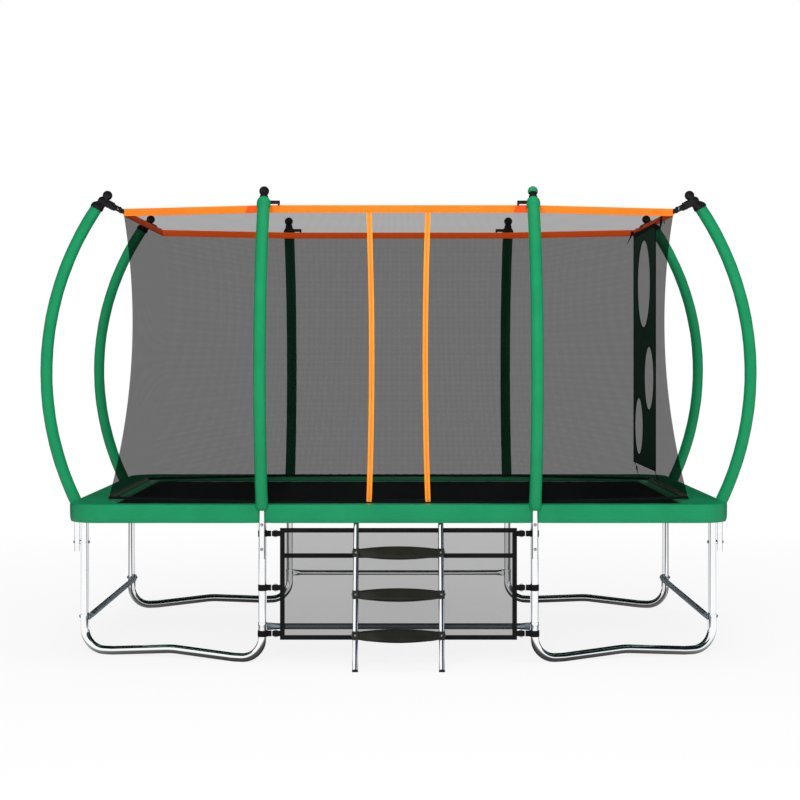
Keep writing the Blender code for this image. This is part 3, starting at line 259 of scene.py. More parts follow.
def meshMaterial(name, light, dark, pitch, thread, holeAlpha, threadAlpha):
    # see-through net: threads over holes, laid out on the cloth's own UV map in metres
    material, tree, shader = newMaterial(name, roughness=0.8, specular=0.0)
    vector = coordinates(tree, "UV")
    threads = placeGroup(tree, threadGroup, Vector=vector, Pitch=pitch, Thread=thread, Blur=0.2)
    cloud = placeGroup(tree, cloudGroup, Vector=coordinates(tree), Scale=3.0)
    addTint(tree, shader, cloud, light, dark)
    wire(tree, mapRange(tree, threads, 0.0, 1.0, holeAlpha, threadAlpha, smooth=False), shader["Alpha"])
    return material


# light and dark tone, then: for solids the sheen where shiny and where dull, for cloths the pitch
# and depth of the weave, for nets the pitch and share of the threads and how solid hole and thread are
finishes = {
    "steel": solidMaterial("metal", "bright galvanised tube",
                           (0.97, 0.975, 0.985), (0.9, 0.91, 0.93), 0.04, 0.1),
    # painted reflection: a darker, blue-grey copy of the tube steel, for the front and side braces
    "braceReflectionSteel": solidMaterial("metal", "dull galvanised brace with painted reflection",
                                (0.31, 0.385, 0.44), (0.28, 0.35, 0.4), 0.48, 0.55, depth=0.0),
    "bolt": solidMaterial("metal", "zinc plated bolt",
                          (0.4, 0.42, 0.45), (0.28, 0.29, 0.31), 0.22, 0.36),
    "sleeve": solidMaterial("vinyl", "green sleeve over foam", (0.01, 0.262, 0.1),
                            (0.008, 0.23, 0.086), 0.36, 0.46, crease=26.0, depth=0.00035),
    "pad": solidMaterial("vinyl", "green pad vinyl", (0.01, 0.248, 0.1),
                         (0.008, 0.216, 0.087), 0.32, 0.44, crease=9.0, depth=0.0016),
    "mat": clothMaterial("woven jumping mat",
                         (0.0085, 0.0105, 0.012), (0.006, 0.0075, 0.0085), 0.0045, 0.00012, 0.7),
    "hem": clothMaterial("black webbing",
                         (0.012, 0.012, 0.013), (0.006, 0.006, 0.007), 0.003, 0.0003),
    "plastic": solidMaterial("plastic", "black moulded plastic",
                             (0.011, 0.011, 0.012), (0.006, 0.006, 0.007), 0.24, 0.36),
    "tread": solidMaterial("plastic", "olive black moulded step",
                           (0.017, 0.0175, 0.0135), (0.013, 0.0135, 0.0105), 0.3, 0.4),
    "rubber": solidMaterial("plastic", "black rubber foot",
                            (0.012, 0.012, 0.013), (0.02, 0.02, 0.021), 0.7, 0.9),
    "greenCap": solidMaterial("plastic", "green moulded cap",
                              (0.016, 0.26, 0.1), (0.012, 0.2, 0.075), 0.3, 0.45),
    "net": meshMaterial("black safety net",
                        (0.004, 0.004, 0.004), (0.002, 0.002, 0.002), 0.0062, 0.22, 0.5, 0.71),
    "goal": meshMaterial("grey goal net",
                         (0.03, 0.03, 0.032), (0.02, 0.02, 0.021), 0.0056, 0.2, 0.46, 0.64),
    "orange": clothMaterial("orange band",
                            (1.0, 0.235, 0.02), (0.93, 0.19, 0.014), 0.0035, 0.0002, 0.6, "UV"),
    # painted shade: a redder copy of the band's orange, for its inner face
    "bandInsideShade": clothMaterial("band's inside, redder as painted shade",
                                (1.0, 0.115, 0.008), (0.93, 0.095, 0.006), 0.0035, 0.0002, 0.6, "UV"),
    "zipTape": clothMaterial("orange zip tape",
                             (1.0, 0.34, 0.04), (0.96, 0.29, 0.03), 0.003, 0.0002, 0.6, "UV"),
    "zipTeeth": solidMaterial("plastic", "orange zip teeth",
                              (0.9, 0.22, 0.025), (0.82, 0.18, 0.02), 0.3, 0.45),
    "redPatch": clothMaterial("band's red patch",
                              (0.95, 0.105, 0.012), (0.88, 0.085, 0.01), 0.0035, 0.0002, 0.6, "UV"),
    "target": clothMaterial("dark green canvas",
                            (0.024, 0.088, 0.052), (0.017, 0.066, 0.038), 0.004, 0.0003),
    # painted highlight: the side panels' lace is pale, where the other panels' lace takes the black webbing
    "lace": clothMaterial("elastic lace, pale as painted highlight",
                          (0.72, 0.52, 0.5), (0.6, 0.4, 0.38), 0.002, 0.0002),
}
print("materials made:", len(finishes))


def deselectAll():
    if bpy.context.object and bpy.context.object.mode != "OBJECT":
        bpy.ops.object.mode_set(mode="OBJECT")
    bpy.ops.object.select_all(action="DESELECT")


def added(operator, **settings):
    deselectAll()
    operator(**settings)
    return bpy.context.object


def makeActive(piece):
    deselectAll()
    piece.select_set(True)
    bpy.context.view_layer.objects.active = piece


def enterEdit(action="SELECT"):
    bpy.ops.object.mode_set(mode="EDIT")
    bpy.ops.mesh.select_all(action=action)


def leaveEdit():
    bpy.ops.object.mode_set(mode="OBJECT")


def faceOutward(piece, merge=0.0, close=False):
    makeActive(piece)
    enterEdit()
    if merge:
        bpy.ops.mesh.remove_doubles(threshold=merge)
    if close:
        bpy.ops.mesh.fill_holes(sides=0)
    bpy.ops.mesh.normals_make_consistent(inside=False)
    leaveEdit()


def cutOff(spots):
    # in edit mode, removes what lies beyond each plane: a point on it and its outward direction
    for spot, away in spots:
        bpy.ops.mesh.select_all(action="SELECT")
        bpy.ops.mesh.bisect(plane_co=spot, plane_no=away, clear_outer=True)


def shade(piece, angle=35):
    makeActive(piece)
    bpy.ops.object.shade_smooth_by_angle(angle=radians(angle))


def settle(piece, scale=None):
    # puts the piece's place and size into its mesh, so that its object sits at the origin
    if scale:
        piece.scale = scale
    makeActive(piece)
    bpy.ops.object.transform_apply(location=True, rotation=True, scale=True)


def applyModifier(piece, kind, **settings):
    makeActive(piece)
    modifier = piece.modifiers.new(kind.lower(), kind)
    for key, value in settings.items():
        setattr(modifier, key, value)
    bpy.ops.object.modifier_apply(modifier=modifier.name)


def dress(piece, name, finish, body, *nodes):
    piece.name = name
    piece.data.name = name
    piece.data.materials.clear()
    piece.data.materials.append(finishes[finish])
    if body:
        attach(piece, body)
    if nodes:
        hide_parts(*nodes)
    return piece


def linked(name, data):
    piece = bpy.data.objects.new(name, data)
    bpy.context.scene.collection.objects.link(piece)
    return piece


def copyTo(piece, matrix):
    other = linked(piece.name, piece.data.copy())
    other.data.transform(matrix)
    return other


def discard(*pieces):
    for piece in pieces:
        bpy.data.objects.remove(piece, do_unlink=True)


def placeAtPosts(*rows):
    # a copy at every post; each row is a model, its copies' first name, a finish and the node's first name
    copies = []
    for post in posts:
        for model, label, finish, *nodes in rows:
            piece = copyTo(model, postMatrix(post))
            copies.append(dress(piece, label + post, finish, "frame", *[node + post for node in nodes]))
    discard(*[row[0] for row in rows])
    return copies


def joinPieces(pieces):
    deselectAll()
    for piece in pieces:
        piece.select_set(True)
    bpy.context.view_layer.objects.active = pieces[0]
    bpy.ops.object.join()
    return pieces[0]


def arcPoints(centre, radius, start, end, steps, plane="XZ"):
    axes = {"X": Vector((1, 0, 0)), "Y": Vector((0, 1, 0)), "Z": Vector((0, 0, 1))}
    first, second = axes[plane[0]], axes[plane[1]]
    angles = [start + (end - start) * k / steps for k in range(steps + 1)]
    return [Vector(centre) + radius * (first * cos(angle) + second * sin(angle)) for angle in angles]


def headings(points):
    result = []
    for k, here in enumerate(points):
        before = next((here - p for p in reversed(points[:k]) if (p - here).length > 1e-6), None)
        after = next((p - here for p in points[k + 1:] if (p - here).length > 1e-6), None)
        both = [way.normalized() for way in (before, after) if way is not None]
        result.append(sum(both, Vector()).normalized())
    return result


def drawTube(stations, axis="Y", sides=28, capped=False, straight=None):
    # a ring is added, then extruded, turned and scaled from station to station
    # stations: (point, radius) in the plane square to axis; straight: one heading for a turned part
    points = [Vector(point) for point, radius in stations]
    ways = [Vector(straight).normalized()] * len(points) if straight else headings(points)
    across = Vector({"X": (1, 0, 0), "Y": (0, 1, 0), "Z": (0, 0, 1)}[axis])
    turn = Matrix((across.cross(ways[0]), across, ways[0])).transposed().to_euler()
    piece = added(bpy.ops.mesh.primitive_circle_add, vertices=sides, radius=stations[0][1],
                  location=points[0], rotation=turn, fill_type="NGON" if capped else "NOTHING")
    enterEdit()
    for k in range(1, len(points)):
        bpy.ops.mesh.extrude_region_move(TRANSFORM_OT_translate={"value": points[k] - points[k - 1]})
        angle = acos(max(-1, min(1, ways[k - 1].dot(ways[k]))))
        if angle > 1e-5:
            if ways[k - 1].cross(ways[k]).dot(across) < 0:
                angle = -angle
            bpy.ops.transform.rotate(value=-angle, orient_axis=axis, center_override=points[k])
        grow = stations[k][1] / stations[k - 1][1]
        if abs(grow - 1) > 1e-6:
            bpy.ops.transform.resize(value=(grow, grow, grow), center_override=points[k])
    bpy.ops.mesh.select_all(action="SELECT")
    bpy.ops.mesh.normals_make_consistent(inside=False)
    leaveEdit()
    settle(piece)
    return piece


def meshFromRows(name, rows, ring=True, loop=False, capped=False):
    # skin of equal rows of points, for cloth and moulded forms that no extrusion gives
    count = len(rows[0])
    faces = []
    for r in range(len(rows) if loop else len(rows) - 1):
        here, after = r * count, (r + 1) % len(rows) * count
        for c in range(count if ring else count - 1):
            d = (c + 1) % count
            faces.append((here + c, here + d, after + d, after + c))
    if capped:
        faces.append(tuple(range(count))[::-1])
        faces.append(tuple((len(rows) - 1) * count + c for c in range(count)))
    mesh = bpy.data.meshes.new(name)
    mesh.from_pydata([tuple(point) for row in rows for point in row], [], faces)
    mesh.update()
    return linked(name, mesh)


def smoothStep(value):
    value = max(0.0, min(1.0, value))
    return value * value * (3 - 2 * value)


bolt = {
    "head": 0.0078, "height": 0.0055, "headEdge": 0.0009, "washer": 0.0105, "washerHeight": 0.0016,
    "washerEdge": 0.0004, "sunk": 0.0006,
}


def makeBolt():
    # washer and hexagon head pointing along +X, the washer against x = 0
    parts = []
    for sides, radius, start, depth, rounding, segments in (
            (20, bolt["washer"], 0, bolt["washerHeight"], bolt["washerEdge"], 1),
            (6, bolt["head"], bolt["washerHeight"], bolt["height"], bolt["headEdge"], 2)):
        part = added(bpy.ops.mesh.primitive_cylinder_add, vertices=sides, radius=radius, depth=depth,
                     location=(start + depth / 2, 0, 0), rotation=(0, radians(90), 0))
        applyModifier(part, "BEVEL", width=rounding, segments=segments)
        parts.append(part)
    whole = joinPieces(parts)
    settle(whole)
    shade(whole)
    return whole


boltModel = makeBolt()


def boltAt(point, heading, size=1.0):
    turn = Vector((1, 0, 0)).rotation_difference(Vector(heading)).to_matrix().to_4x4()
    return copyTo(boltModel, Matrix.Translation(point) @ turn @ Matrix.Scale(size, 4))


rails = {"seamGap": 0.0006, "wall": 0.0015, "swage": 0.0008, "swageLength": 0.03}


def makeRails():
    # four quarters with a rounded corner each, their ends drawn in a little where they join
    bend, radius = trampoline["cornerRadius"], trampoline["railRadius"]
    gap, swage = rails["seamGap"] / 2, rails["swageLength"]
    thin = radius - rails["swage"]
    for number, corner in enumerate(("front_right", "rear_right", "rear_left", "front_left")):
        start, end = (railX, railY) if number % 2 == 0 else (railY, railX)
        path = [((gap, -end, railZ), thin), ((gap + swage, -end, railZ), radius)]
        arc = arcPoints((start - bend, -end + bend, railZ), bend, -pi / 2, 0, 14, "XY")
        path += [(point, radius) for point in arc]
        path += [((start, -swage, railZ), radius), ((start, -gap, railZ), thin)]
        rail = drawTube(path, "Z")
        rail.data.transform(Matrix.Rotation(radians(90 * number), 4, "Z"))
        applyModifier(rail, "SOLIDIFY", thickness=rails["wall"], offset=-1)
        shade(rail)
        dress(rail, "tube_rail_" + corner, "steel", "frame", "rail_" + corner)


makeRails()

baseTube = {
    "radius": 0.0247, "bend": 0.125, "run": 0.06, "rise": 0.026, "socketRadius": 0.0262,
    "band": 0.014, "chamfer": 0.004, "wall": 0.0018, "crest": 0.03, "soften": 0.012,
}


def makeBases():
    # socket, bend and low run at both ends, with the middle of the tube raised
    radius, socket, turn = baseTube["radius"], baseTube["socketRadius"], baseTube["bend"]
    rise, soften = baseTube["rise"], baseTube["soften"]
    low = radius * cos(pi / 12)
    length = (Vector(posts["right_front"][:2]) - Vector(posts["front_right"][:2])).length
    top = trampoline["socketHeight"]
    shoulder = top - baseTube["band"]
    half = [((0, 0, top), socket), ((0, 0, shoulder), socket)]
    half += [((0, 0, shoulder - baseTube["chamfer"]), radius), ((0, 0, low + turn + 0.001), radius)]
    half += [(point, radius) for point in arcPoints((turn, 0, low + turn), turn, pi, 1.5 * pi, 14)]
    flat = turn + baseTube["run"]
    crest = length / 2 - baseTube["crest"]
    for x, lift in ((flat - soften, 0), (flat, 0.0006), (flat + soften, 0.0016),
                    (crest - soften, rise - 0.0008), (crest, rise), (crest + soften, rise + 0.0006),
                    (length / 2, rise + 0.001)):
        half.append(((x, 0, low + lift), radius))
    mirrored = [((length - point[0], 0, point[2]), size) for point, size in reversed(half[:-1])]
    model = drawTube(half + mirrored, "Y")
    applyModifier(model, "SOLIDIFY", thickness=baseTube["wall"], offset=-1)
    shade(model)
    for name, start, end in (
            ("front_right", "right_front", "front_right"), ("rear_right", "right_rear", "rear_right"),
            ("rear_left", "left_rear", "rear_left"), ("front_left", "left_front", "front_left")):
        a, b = Vector(posts[start][:2]), Vector(posts[end][:2])
        place = Matrix.Translation((a.x, a.y, 0)) @ Matrix.Rotation(atan2((b - a).y, (b - a).x), 4, "Z")
        dress(copyTo(model, place), "tube_base_" + name, "steel", "frame", "base_" + name)
    discard(model)


makeBases()

upright = {
    "plugRadius": 0.0205, "plugLength": 0.05, "teeRadius": 0.0262, "teeHalf": 0.07, "teeWall": 0.0028,
    "bossHeights": (0.639, 0.775), "bossRadius": 0.012, "poleOffset": 0.044, "poleRadius": 0.016,
    "weld": 0.0035,
}


def makeUprights():
    # leg tube, tee for the rail, weld bead and two spacers that carry the pole
    radius, plug, weld = trampoline["tubeRadius"], upright["plugRadius"], upright["weld"]
    foot = trampoline["socketHeight"] + trampoline["play"]
    meet = railZ - upright["teeRadius"]
    path = [(foot - upright["plugLength"], plug), (foot, plug), (foot, radius), (meet - 0.004, radius),
            (meet + 0.001, radius + weld), (meet + 0.006, radius + weld * 0.6)]
    leg = drawTube([((0, 0, z), size) for z, size in path], "Y", capped=True, straight=(0, 0, 1))
    ends = [(0, -upright["teeHalf"], railZ), (0, upright["teeHalf"], railZ)]
    tee = drawTube([(end, upright["teeRadius"]) for end in ends], "X", sides=36)
    applyModifier(tee, "SOLIDIFY", thickness=upright["teeWall"], offset=-1)
    parts = [leg, tee]
    reach = upright["poleOffset"] - upright["poleRadius"]
    for z in upright["bossHeights"]:
        ends = [((x, 0, z), upright["bossRadius"]) for x in (radius * 0.9, reach)]
        parts.append(drawTube(ends, "Y", sides=20, straight=(1, 0, 0)))
    model = joinPieces(parts)
    shade(model)
    bolts = [boltAt((-radius + bolt["sunk"], 0, z), (-1, 0, 0)) for z in upright["bossHeights"]]
    placeAtPosts((model, "tube_upright_", "steel", "upright_"), (joinPieces(bolts), "leg_bolts_", "bolt"))


makeUprights()

brace = {
    "radius": 0.017, "height": 0.2, "sideHeight": 0.212, "offset": 0.0285, "reach": 0.02,
    "spade": 0.045, "taper": 0.06, "flat": 0.12, "flatWide": 1.24, "flatThin": 0.002,
}


def makeBrace(halfLength):
    # round tube with ends pressed flat: each ring is squeezed one way and widened the other
    end = halfLength + brace["reach"]
    thin, wide = brace["flat"], brace["flatWide"]
    stations = [(end, thin, 0.6), (end - 0.004, thin, 0.95), (end - 0.012, thin, wide)]
    stations += [(end - brace["spade"], thin, wide)]
    for k in range(1, 7):
        share = smoothStep(k / 6)
        x = end - brace["spade"] - brace["taper"] * k / 6
        stations.append((x, thin + (1 - thin) * share, wide - (wide - 1) * share))
    full = [(-x, deep, tall) for x, deep, tall in stations] + stations[::-1]
    tube = added(bpy.ops.mesh.primitive_circle_add, vertices=24, radius=brace["radius"],
                 location=(full[0][0], 0, 0), rotation=(0, radians(90), 0), fill_type="NGON")
    enterEdit()
    bpy.ops.transform.resize(value=(1, full[0][1], full[0][2]), center_override=(full[0][0], 0, 0))
    for before, after in zip(full, full[1:]):
        bpy.ops.mesh.extrude_region_move(TRANSFORM_OT_translate={"value": (after[0] - before[0], 0, 0)})
        bpy.ops.transform.resize(value=(1, after[1] / before[1], after[2] / before[2]),
                                 center_override=(after[0], 0, 0))
    bpy.ops.mesh.select_all(action="SELECT")
    bpy.ops.mesh.normals_make_consistent(inside=False)
    leaveEdit()
    settle(tube)
    shade(tube)
    return tube


def makeBraces():
    offset, low, high, thin = (brace[key] for key in ("offset", "height", "sideHeight", "flatThin"))
    longModel, shortModel = makeBrace(postX), makeBrace(postY)
    # the front and side braces take the steel with painted reflection, the rear brace the plain steel
    for name, tube, spot, turn, finish in (
            ("front", longModel, (0, -railY + offset, low), 0, "braceReflectionSteel"),
            ("rear", longModel, (0, railY + offset, low), 0, "steel"),
            ("left", shortModel, (-railX + offset, 0, high), 90, "braceReflectionSteel"),
            ("right", shortModel, (railX - offset, 0, high), 90, "braceReflectionSteel")):
        piece = copyTo(tube, Matrix.Translation(spot) @ Matrix.Rotation(radians(turn), 4, "Z"))
        dress(piece, "tube_brace_" + name, finish, "frame", "brace_" + name)
    discard(longModel, shortModel)
    bolts = []
    outer = railX + baseTube["socketRadius"] - bolt["sunk"]
    for side in (-1, 1):
        for y in (-railY + offset + thin, railY + offset + thin):
            bolts.append(boltAt((side * postX, y, low), (0, 1, 0)))
        for y in (-postY, postY):
            bolts.append(boltAt((side * (railX - offset - thin), y, high), (-side, 0, 0)))
            bolts.append(boltAt((side * outer, y, high), (side, 0, 0)))
    dress(joinPieces(bolts), "brace_bolts", "bolt", "frame")


makeBraces()
print("frame tubes made")

pole = {
    "radius": 0.016, "outboard": 0.044, "foot": 0.584, "bendStart": 0.83, "bendRadius": 0.12,
    "lean": radians(25.5), "bow": 1.7, "top": 2.563, "wall": 0.0014,
}
sleeve = {"radius": 0.035, "seam": 0.0012, "drop": 0.014, "steps": 56}


def poleLine(steps):
    # the upright part with the short bend, and the long bow, beside the origin
    lean = pole["lean"]
    bendCentre = (pole["outboard"] + pole["bendRadius"], 0, pole["bendStart"])
    bend = arcPoints(bendCentre, pole["bendRadius"], pi, pi - lean, 8)
    bowCentre = bend[-1] - pole["bow"] * Vector((cos(lean), 0, -sin(lean)))
    topAngle = asin((pole["top"] - bowCentre.z) / pole["bow"])
    bow = arcPoints(bowCentre, pole["bow"], -lean, topAngle, steps)
    return [Vector((pole["outboard"], 0, pole["foot"]))] + bend, bow


def poleTop():
    bow = poleLine(8)[1]
    return bow[-1], (bow[-1] - bow[-2]).normalized()


def makePoles():
    lower, bow = poleLine(30)
    model = drawTube([(point, pole["radius"]) for point in lower + bow[1:]], "Y", sides=24)
    applyModifier(model, "SOLIDIFY", thickness=pole["wall"], offset=-1)
    shade(model)
    face = pole["outboard"] + pole["radius"] - bolt["sunk"]
    bolts = [boltAt((face, 0, z), (1, 0, 0), 0.9) for z in upright["bossHeights"]]
    placeAtPosts((model, "tube_pole_", "steel", "pole_"), (joinPieces(bolts), "pole_bolts_", "bolt"))


makePoles()


def makeSleeves():
    # foam tube over the bow: a tucked hem below and a sewn seam along the inside
    bow = poleLine(sleeve["steps"])[1]
    radius = sleeve["radius"]
    path = []
    for k, point in enumerate(bow):
        ripple = 0.00035 * sin(k * 1.9) + 0.0003 * sin(k * 0.73 + 1)
        path.append((point, radius - 0.0008 + ripple))
    first = (bow[1] - bow[0]).normalized()
    low = bow[0] - first * sleeve["drop"]
    ends = [(low, pole["radius"] + 0.0006), (low - first * 0.0001, radius - 0.0085)]
    ends += [(low + first * 0.0025, radius - 0.003), (bow[0] - first * 0.004, radius - 0.0008)]
    model = drawTube(ends + path, "Y", sides=36)
    for vertex in model.data.vertices:
        spot = vertex.co
        away = spot - min(bow, key=lambda p: (p - spot).length_squared)
        inboard = away.length > radius * 0.8 and away.normalized().dot(Vector((-1, 0, 0))) > 0.985
        if inboard and abs(spot.y) < 0.004:
            vertex.co -= away.normalized() * sleeve["seam"]
    shade(model, 50)
    for piece in placeAtPosts((model, "foam_", "sleeve", "sleeve_")):
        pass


makeSleeves()

net = {
    "bottom": 0.8885, "top": 2.561, "bandHalf": 0.003, "band": 0.042,
    # plan of the net at its top and foot, and how far its corners are drawn in at mid height
    "sideReach": 0.1425, "sideShift": 0.0445, "middleReach": 0.0605, "footInset": 0.121,
    "footSideShift": 0.1105, "footMiddleShift": 0.0333,
    "sideDraw": (0.0853, 0.0412), "middleDraw": (0.0402, 0.0557),
    "doorTop": 0.168, "doorBottom": 0.166, "doorDraw": 0.015,
}


def netShare(height):
    return (height - net["bottom"]) / (net["top"] - net["bottom"])


def netOutline(t):
    # plan of the net at a share of its height, anticlockwise from the door's left edge
    top = poleTop()[0]
    waist = 4 * t * (1 - t)
    sideTop = Vector((railX + top.x - net["sideReach"], postY - net["sideShift"]))
    middleTop = Vector((postX, railY + top.x - net["middleReach"]))
    sideFoot = Vector((railX - net["footInset"], postY - net["footSideShift"]))
    middleFoot = Vector((postX + net["footMiddleShift"], railY - net["footInset"]))
    side = sideFoot.lerp(sideTop, t) - waist * Vector(net["sideDraw"])
    middle = middleFoot.lerp(middleTop, t) - waist * Vector(net["middleDraw"])
    door = net["doorBottom"] + (net["doorTop"] - net["doorBottom"]) * t - net["doorDraw"] * waist
    front = [(-door, -middle.y), (door, -middle.y)]
    right = [(middle.x, -middle.y), (side.x, -side.y), (side.x, side.y), (middle.x, middle.y)]
    left = [(-x, -y) for x, y in right]
    return [Vector(point) for point in front + right + left]


def shiftOutline(outline, distance):
    result = []
    for k, point in enumerate(outline):
        before = (point - outline[k - 1]).normalized()
        after = (outline[(k + 1) % len(outline)] - point).normalized()
        first = Vector((before.y, -before.x))
        second = Vector((after.y, -after.x))
        result.append(point + (first + second) * distance / (1 + first.dot(second)))
    return result


def netCorner(sidePost, height):
    # corner of the net as seen from a post that stands beside the origin
    middle, side = shiftOutline(netOutline(netShare(height)), net["bandHalf"])[2:4]
    if sidePost:
        return Vector((side.x - railX, side.y + postY, 0))
    return Vector((-middle.y - railY, 0, 0))


cap = {
    "inner": 0.0354, "rim": 0.0382, "skirt": 0.006, "neck": 0.0205, "ball": 0.028, "ballRise": 0.087,
    "armRise": 0.046, "rootHalf": 0.0245, "armHalf": 0.0205, "tipHalf": 0.017, "knuckle": 0.0262,
    "ballShift": 0.018, "bandHeight": 0.042,
    # above the collar: rise over the pole's end, and radius
    "shoulder": ((0.022, 0.0335), (0.029, 0.029), (0.036, 0.0255), (0.043, 0.0232), (0.0455, 0.0245),
                 (0.0485, 0.0248), (0.051, 0.0235), (0.0535, 0.0213)),
    "dome": ((0.022, 0.0362), (0.0285, 0.0325), (0.0335, 0.0285), (0.0365, 0.0245), (0.037, 0.021)),
    # along the arm: share of its length, half length, half width and half height
    "collars": ((0.38, 0.0032, (0.0222, 0.0222), (0.0234, 0.0234)),
                (0.46, 0.0032, (0.0216, 0.0216), (0.0228, 0.0228)),
                (0.54, 0.0032, (0.021, 0.021), (0.0222, 0.0222)),
                (0.83, 0.007, (0.0155, 0.0165), (0.0175, 0.018))),
    "clip": (0.7, 0.0045, (0.0188, 0.0188), (0.009, 0.009)),
}


def ballProfile(size, start, turn, steps):
    angles = [radians(start + turn * k / steps) for k in range(steps + 1)]
    return [(cap["ballRise"] + size * sin(angle), max(0.0004, size * cos(angle))) for angle in angles]


def turned(top, along, profile):
    # a part turned about the pole's own line
    stations = [(top + along * rise, radius) for rise, radius in profile]
    return drawTube(stations, "Y", sides=40, straight=along)


def makeCapBody(top, along):
    # short collar over the sleeve, shoulder, thick neck and ball
    rim, skirt, neck = cap["rim"], cap["skirt"], cap["neck"]
    profile = [(-skirt + 0.001, cap["inner"]), (-skirt, rim - 0.0016), (-skirt + 0.001, rim - 0.0006),
               (-skirt + 0.0025, rim), (0.006, rim), (0.0075, rim - 0.0008), (0.0095, rim - 0.0008),
               (0.011, rim - 0.0002), (0.016, rim - 0.0022)]
    profile += [*cap["shoulder"], (0.062, neck), (0.0665, neck + 0.0004)]
    profile += ballProfile(cap["ball"], -41, 130.5, 14)
    piece = turned(top, along, profile)
    tip = top + along * profile[-1][0]
    makeActive(piece)
    enterEdit("DESELECT")
    leaveEdit()
    for vertex in piece.data.vertices:
        vertex.select = (vertex.co - tip).length < 0.0008
    bpy.ops.object.mode_set(mode="EDIT")
    bpy.ops.mesh.merge(type="CENTER")
    leaveEdit()
    shade(piece, 40)
    return piece


def makeArm(start, end, halfWide, halfTall):
    # tapered flat arm from a cube: its ends are moved and scaled, and its edges are rounded
    start, end = Vector(start), Vector(end)
    run = end - start
    level = Vector((run.x, run.y, 0)).normalized()
    side = Vector((-level.y, level.x, 0))
    arm = added(bpy.ops.mesh.primitive_cube_add, size=1)
    for vertex in arm.data.vertices:
        far = 1 if vertex.co.x > 0 else 0
        lift = Vector((0, 0, 2 * vertex.co.z * halfTall[far]))
        vertex.co = (end if far else start) + side * (2 * vertex.co.y * halfWide[far]) + lift
    makeActive(arm)
    enterEdit()
    bpy.ops.mesh.normals_make_consistent(inside=False)
    bpy.ops.mesh.subdivide(number_cuts=2)
    leaveEdit()
    applyModifier(arm, "BEVEL", width=min(halfWide) * 0.45, segments=3, limit_method="ANGLE")
    settle(arm)
    shade(arm, 50)
    return arm


def makeCornerArm(neck, tip):
    # tapering arm with a ribbed collar, a spring clip and a round knuckle at its root; its tip reaches the
    # net's corner
    way = (tip - neck).normalized()
    waist = neck.lerp(tip, 0.5)
    root, half, thin = cap["rootHalf"], cap["armHalf"], cap["tipHalf"]
    parts = [makeArm(neck, waist, (root, half), (root, half + 0.001))]
    parts.append(makeArm(waist - way * 0.004, tip, (half * 0.8, thin * 0.7), (half * 0.85, 0.0135)))
    for share, reach, wide, tall in cap["collars"] + (cap["clip"],):
        spot = neck.lerp(tip, share)
        parts.append(makeArm(spot - way * reach, spot + way * reach, wide, tall))
    clip = parts.pop()
    knuckle = added(bpy.ops.mesh.primitive_uv_sphere_add, segments=32, ring_count=16,
                    radius=cap["knuckle"], location=neck)
    settle(knuckle)
    shade(knuckle, 60)
    return parts + [knuckle], clip


# half widths and half heights are pairs, for a part's start and its end
hook = {
    "setBack": 0.012, "rootRise": 0.006, "rise": 0.026, "length": 0.088, "lipDrop": 0.004, "lip": 0.012,
    "armWide": 0.008, "armTall": 0.014, "wide": (0.0075, 0.0075), "risingTall": (0.016, 0.01),
    "barTall": (0.0102, 0.0098), "lipWide": (0.0082, 0.0082), "lipTall": (0.0125, 0.0135),
}


def makeHookedArm(neck, tip, level, inward):
    # short arm down to the band, with a hooked bar that lies along it towards the door
    side = Vector((-level.y, level.x, 0))
    root = tip - level * hook["setBack"] + Vector((0, 0, hook["rootRise"]))
    rise = root + Vector((0, 0, hook["rise"]))
    bar = side * (hook["length"] * inward)
    lip = rise + bar - Vector((0, 0, hook["lipDrop"]))
    half = cap["armHalf"]
    return [makeArm(neck, tip, (half, hook["armWide"]), (half + 0.002, hook["armTall"])),
            makeArm(root, rise, hook["wide"], hook["risingTall"]),
            makeArm(rise - bar * 0.1, rise + bar, hook["wide"], hook["barTall"]),
            makeArm(lip - side * (inward * hook["lip"]), lip, hook["lipWide"], hook["lipTall"])]


def makeGreenDome(top, along, post):
    # the front sleeves close over the collar in a dome, and the right one's ball is green
    rim = cap["rim"] + 0.0006
    profile = [(-0.022, sleeve["radius"] + 0.0002), (-0.016, rim - 0.0006), (-0.008, rim), (0.008, rim),
               (0.015, rim - 0.0012), *cap["dome"]]
    covers = [(profile, "sleeve_end_", "sleeve")]
    if post == "front_right":
        covers.append((ballProfile(cap["ball"] + 0.0005, -30, 119.5, 12), "green_ball_", "greenCap"))
    for line, label, finish in covers:
        cover = turned(top, along, line)
        shade(cover, 60)
        cover.data.transform(postMatrix(post))
        dress(cover, label + post, finish, "frame")


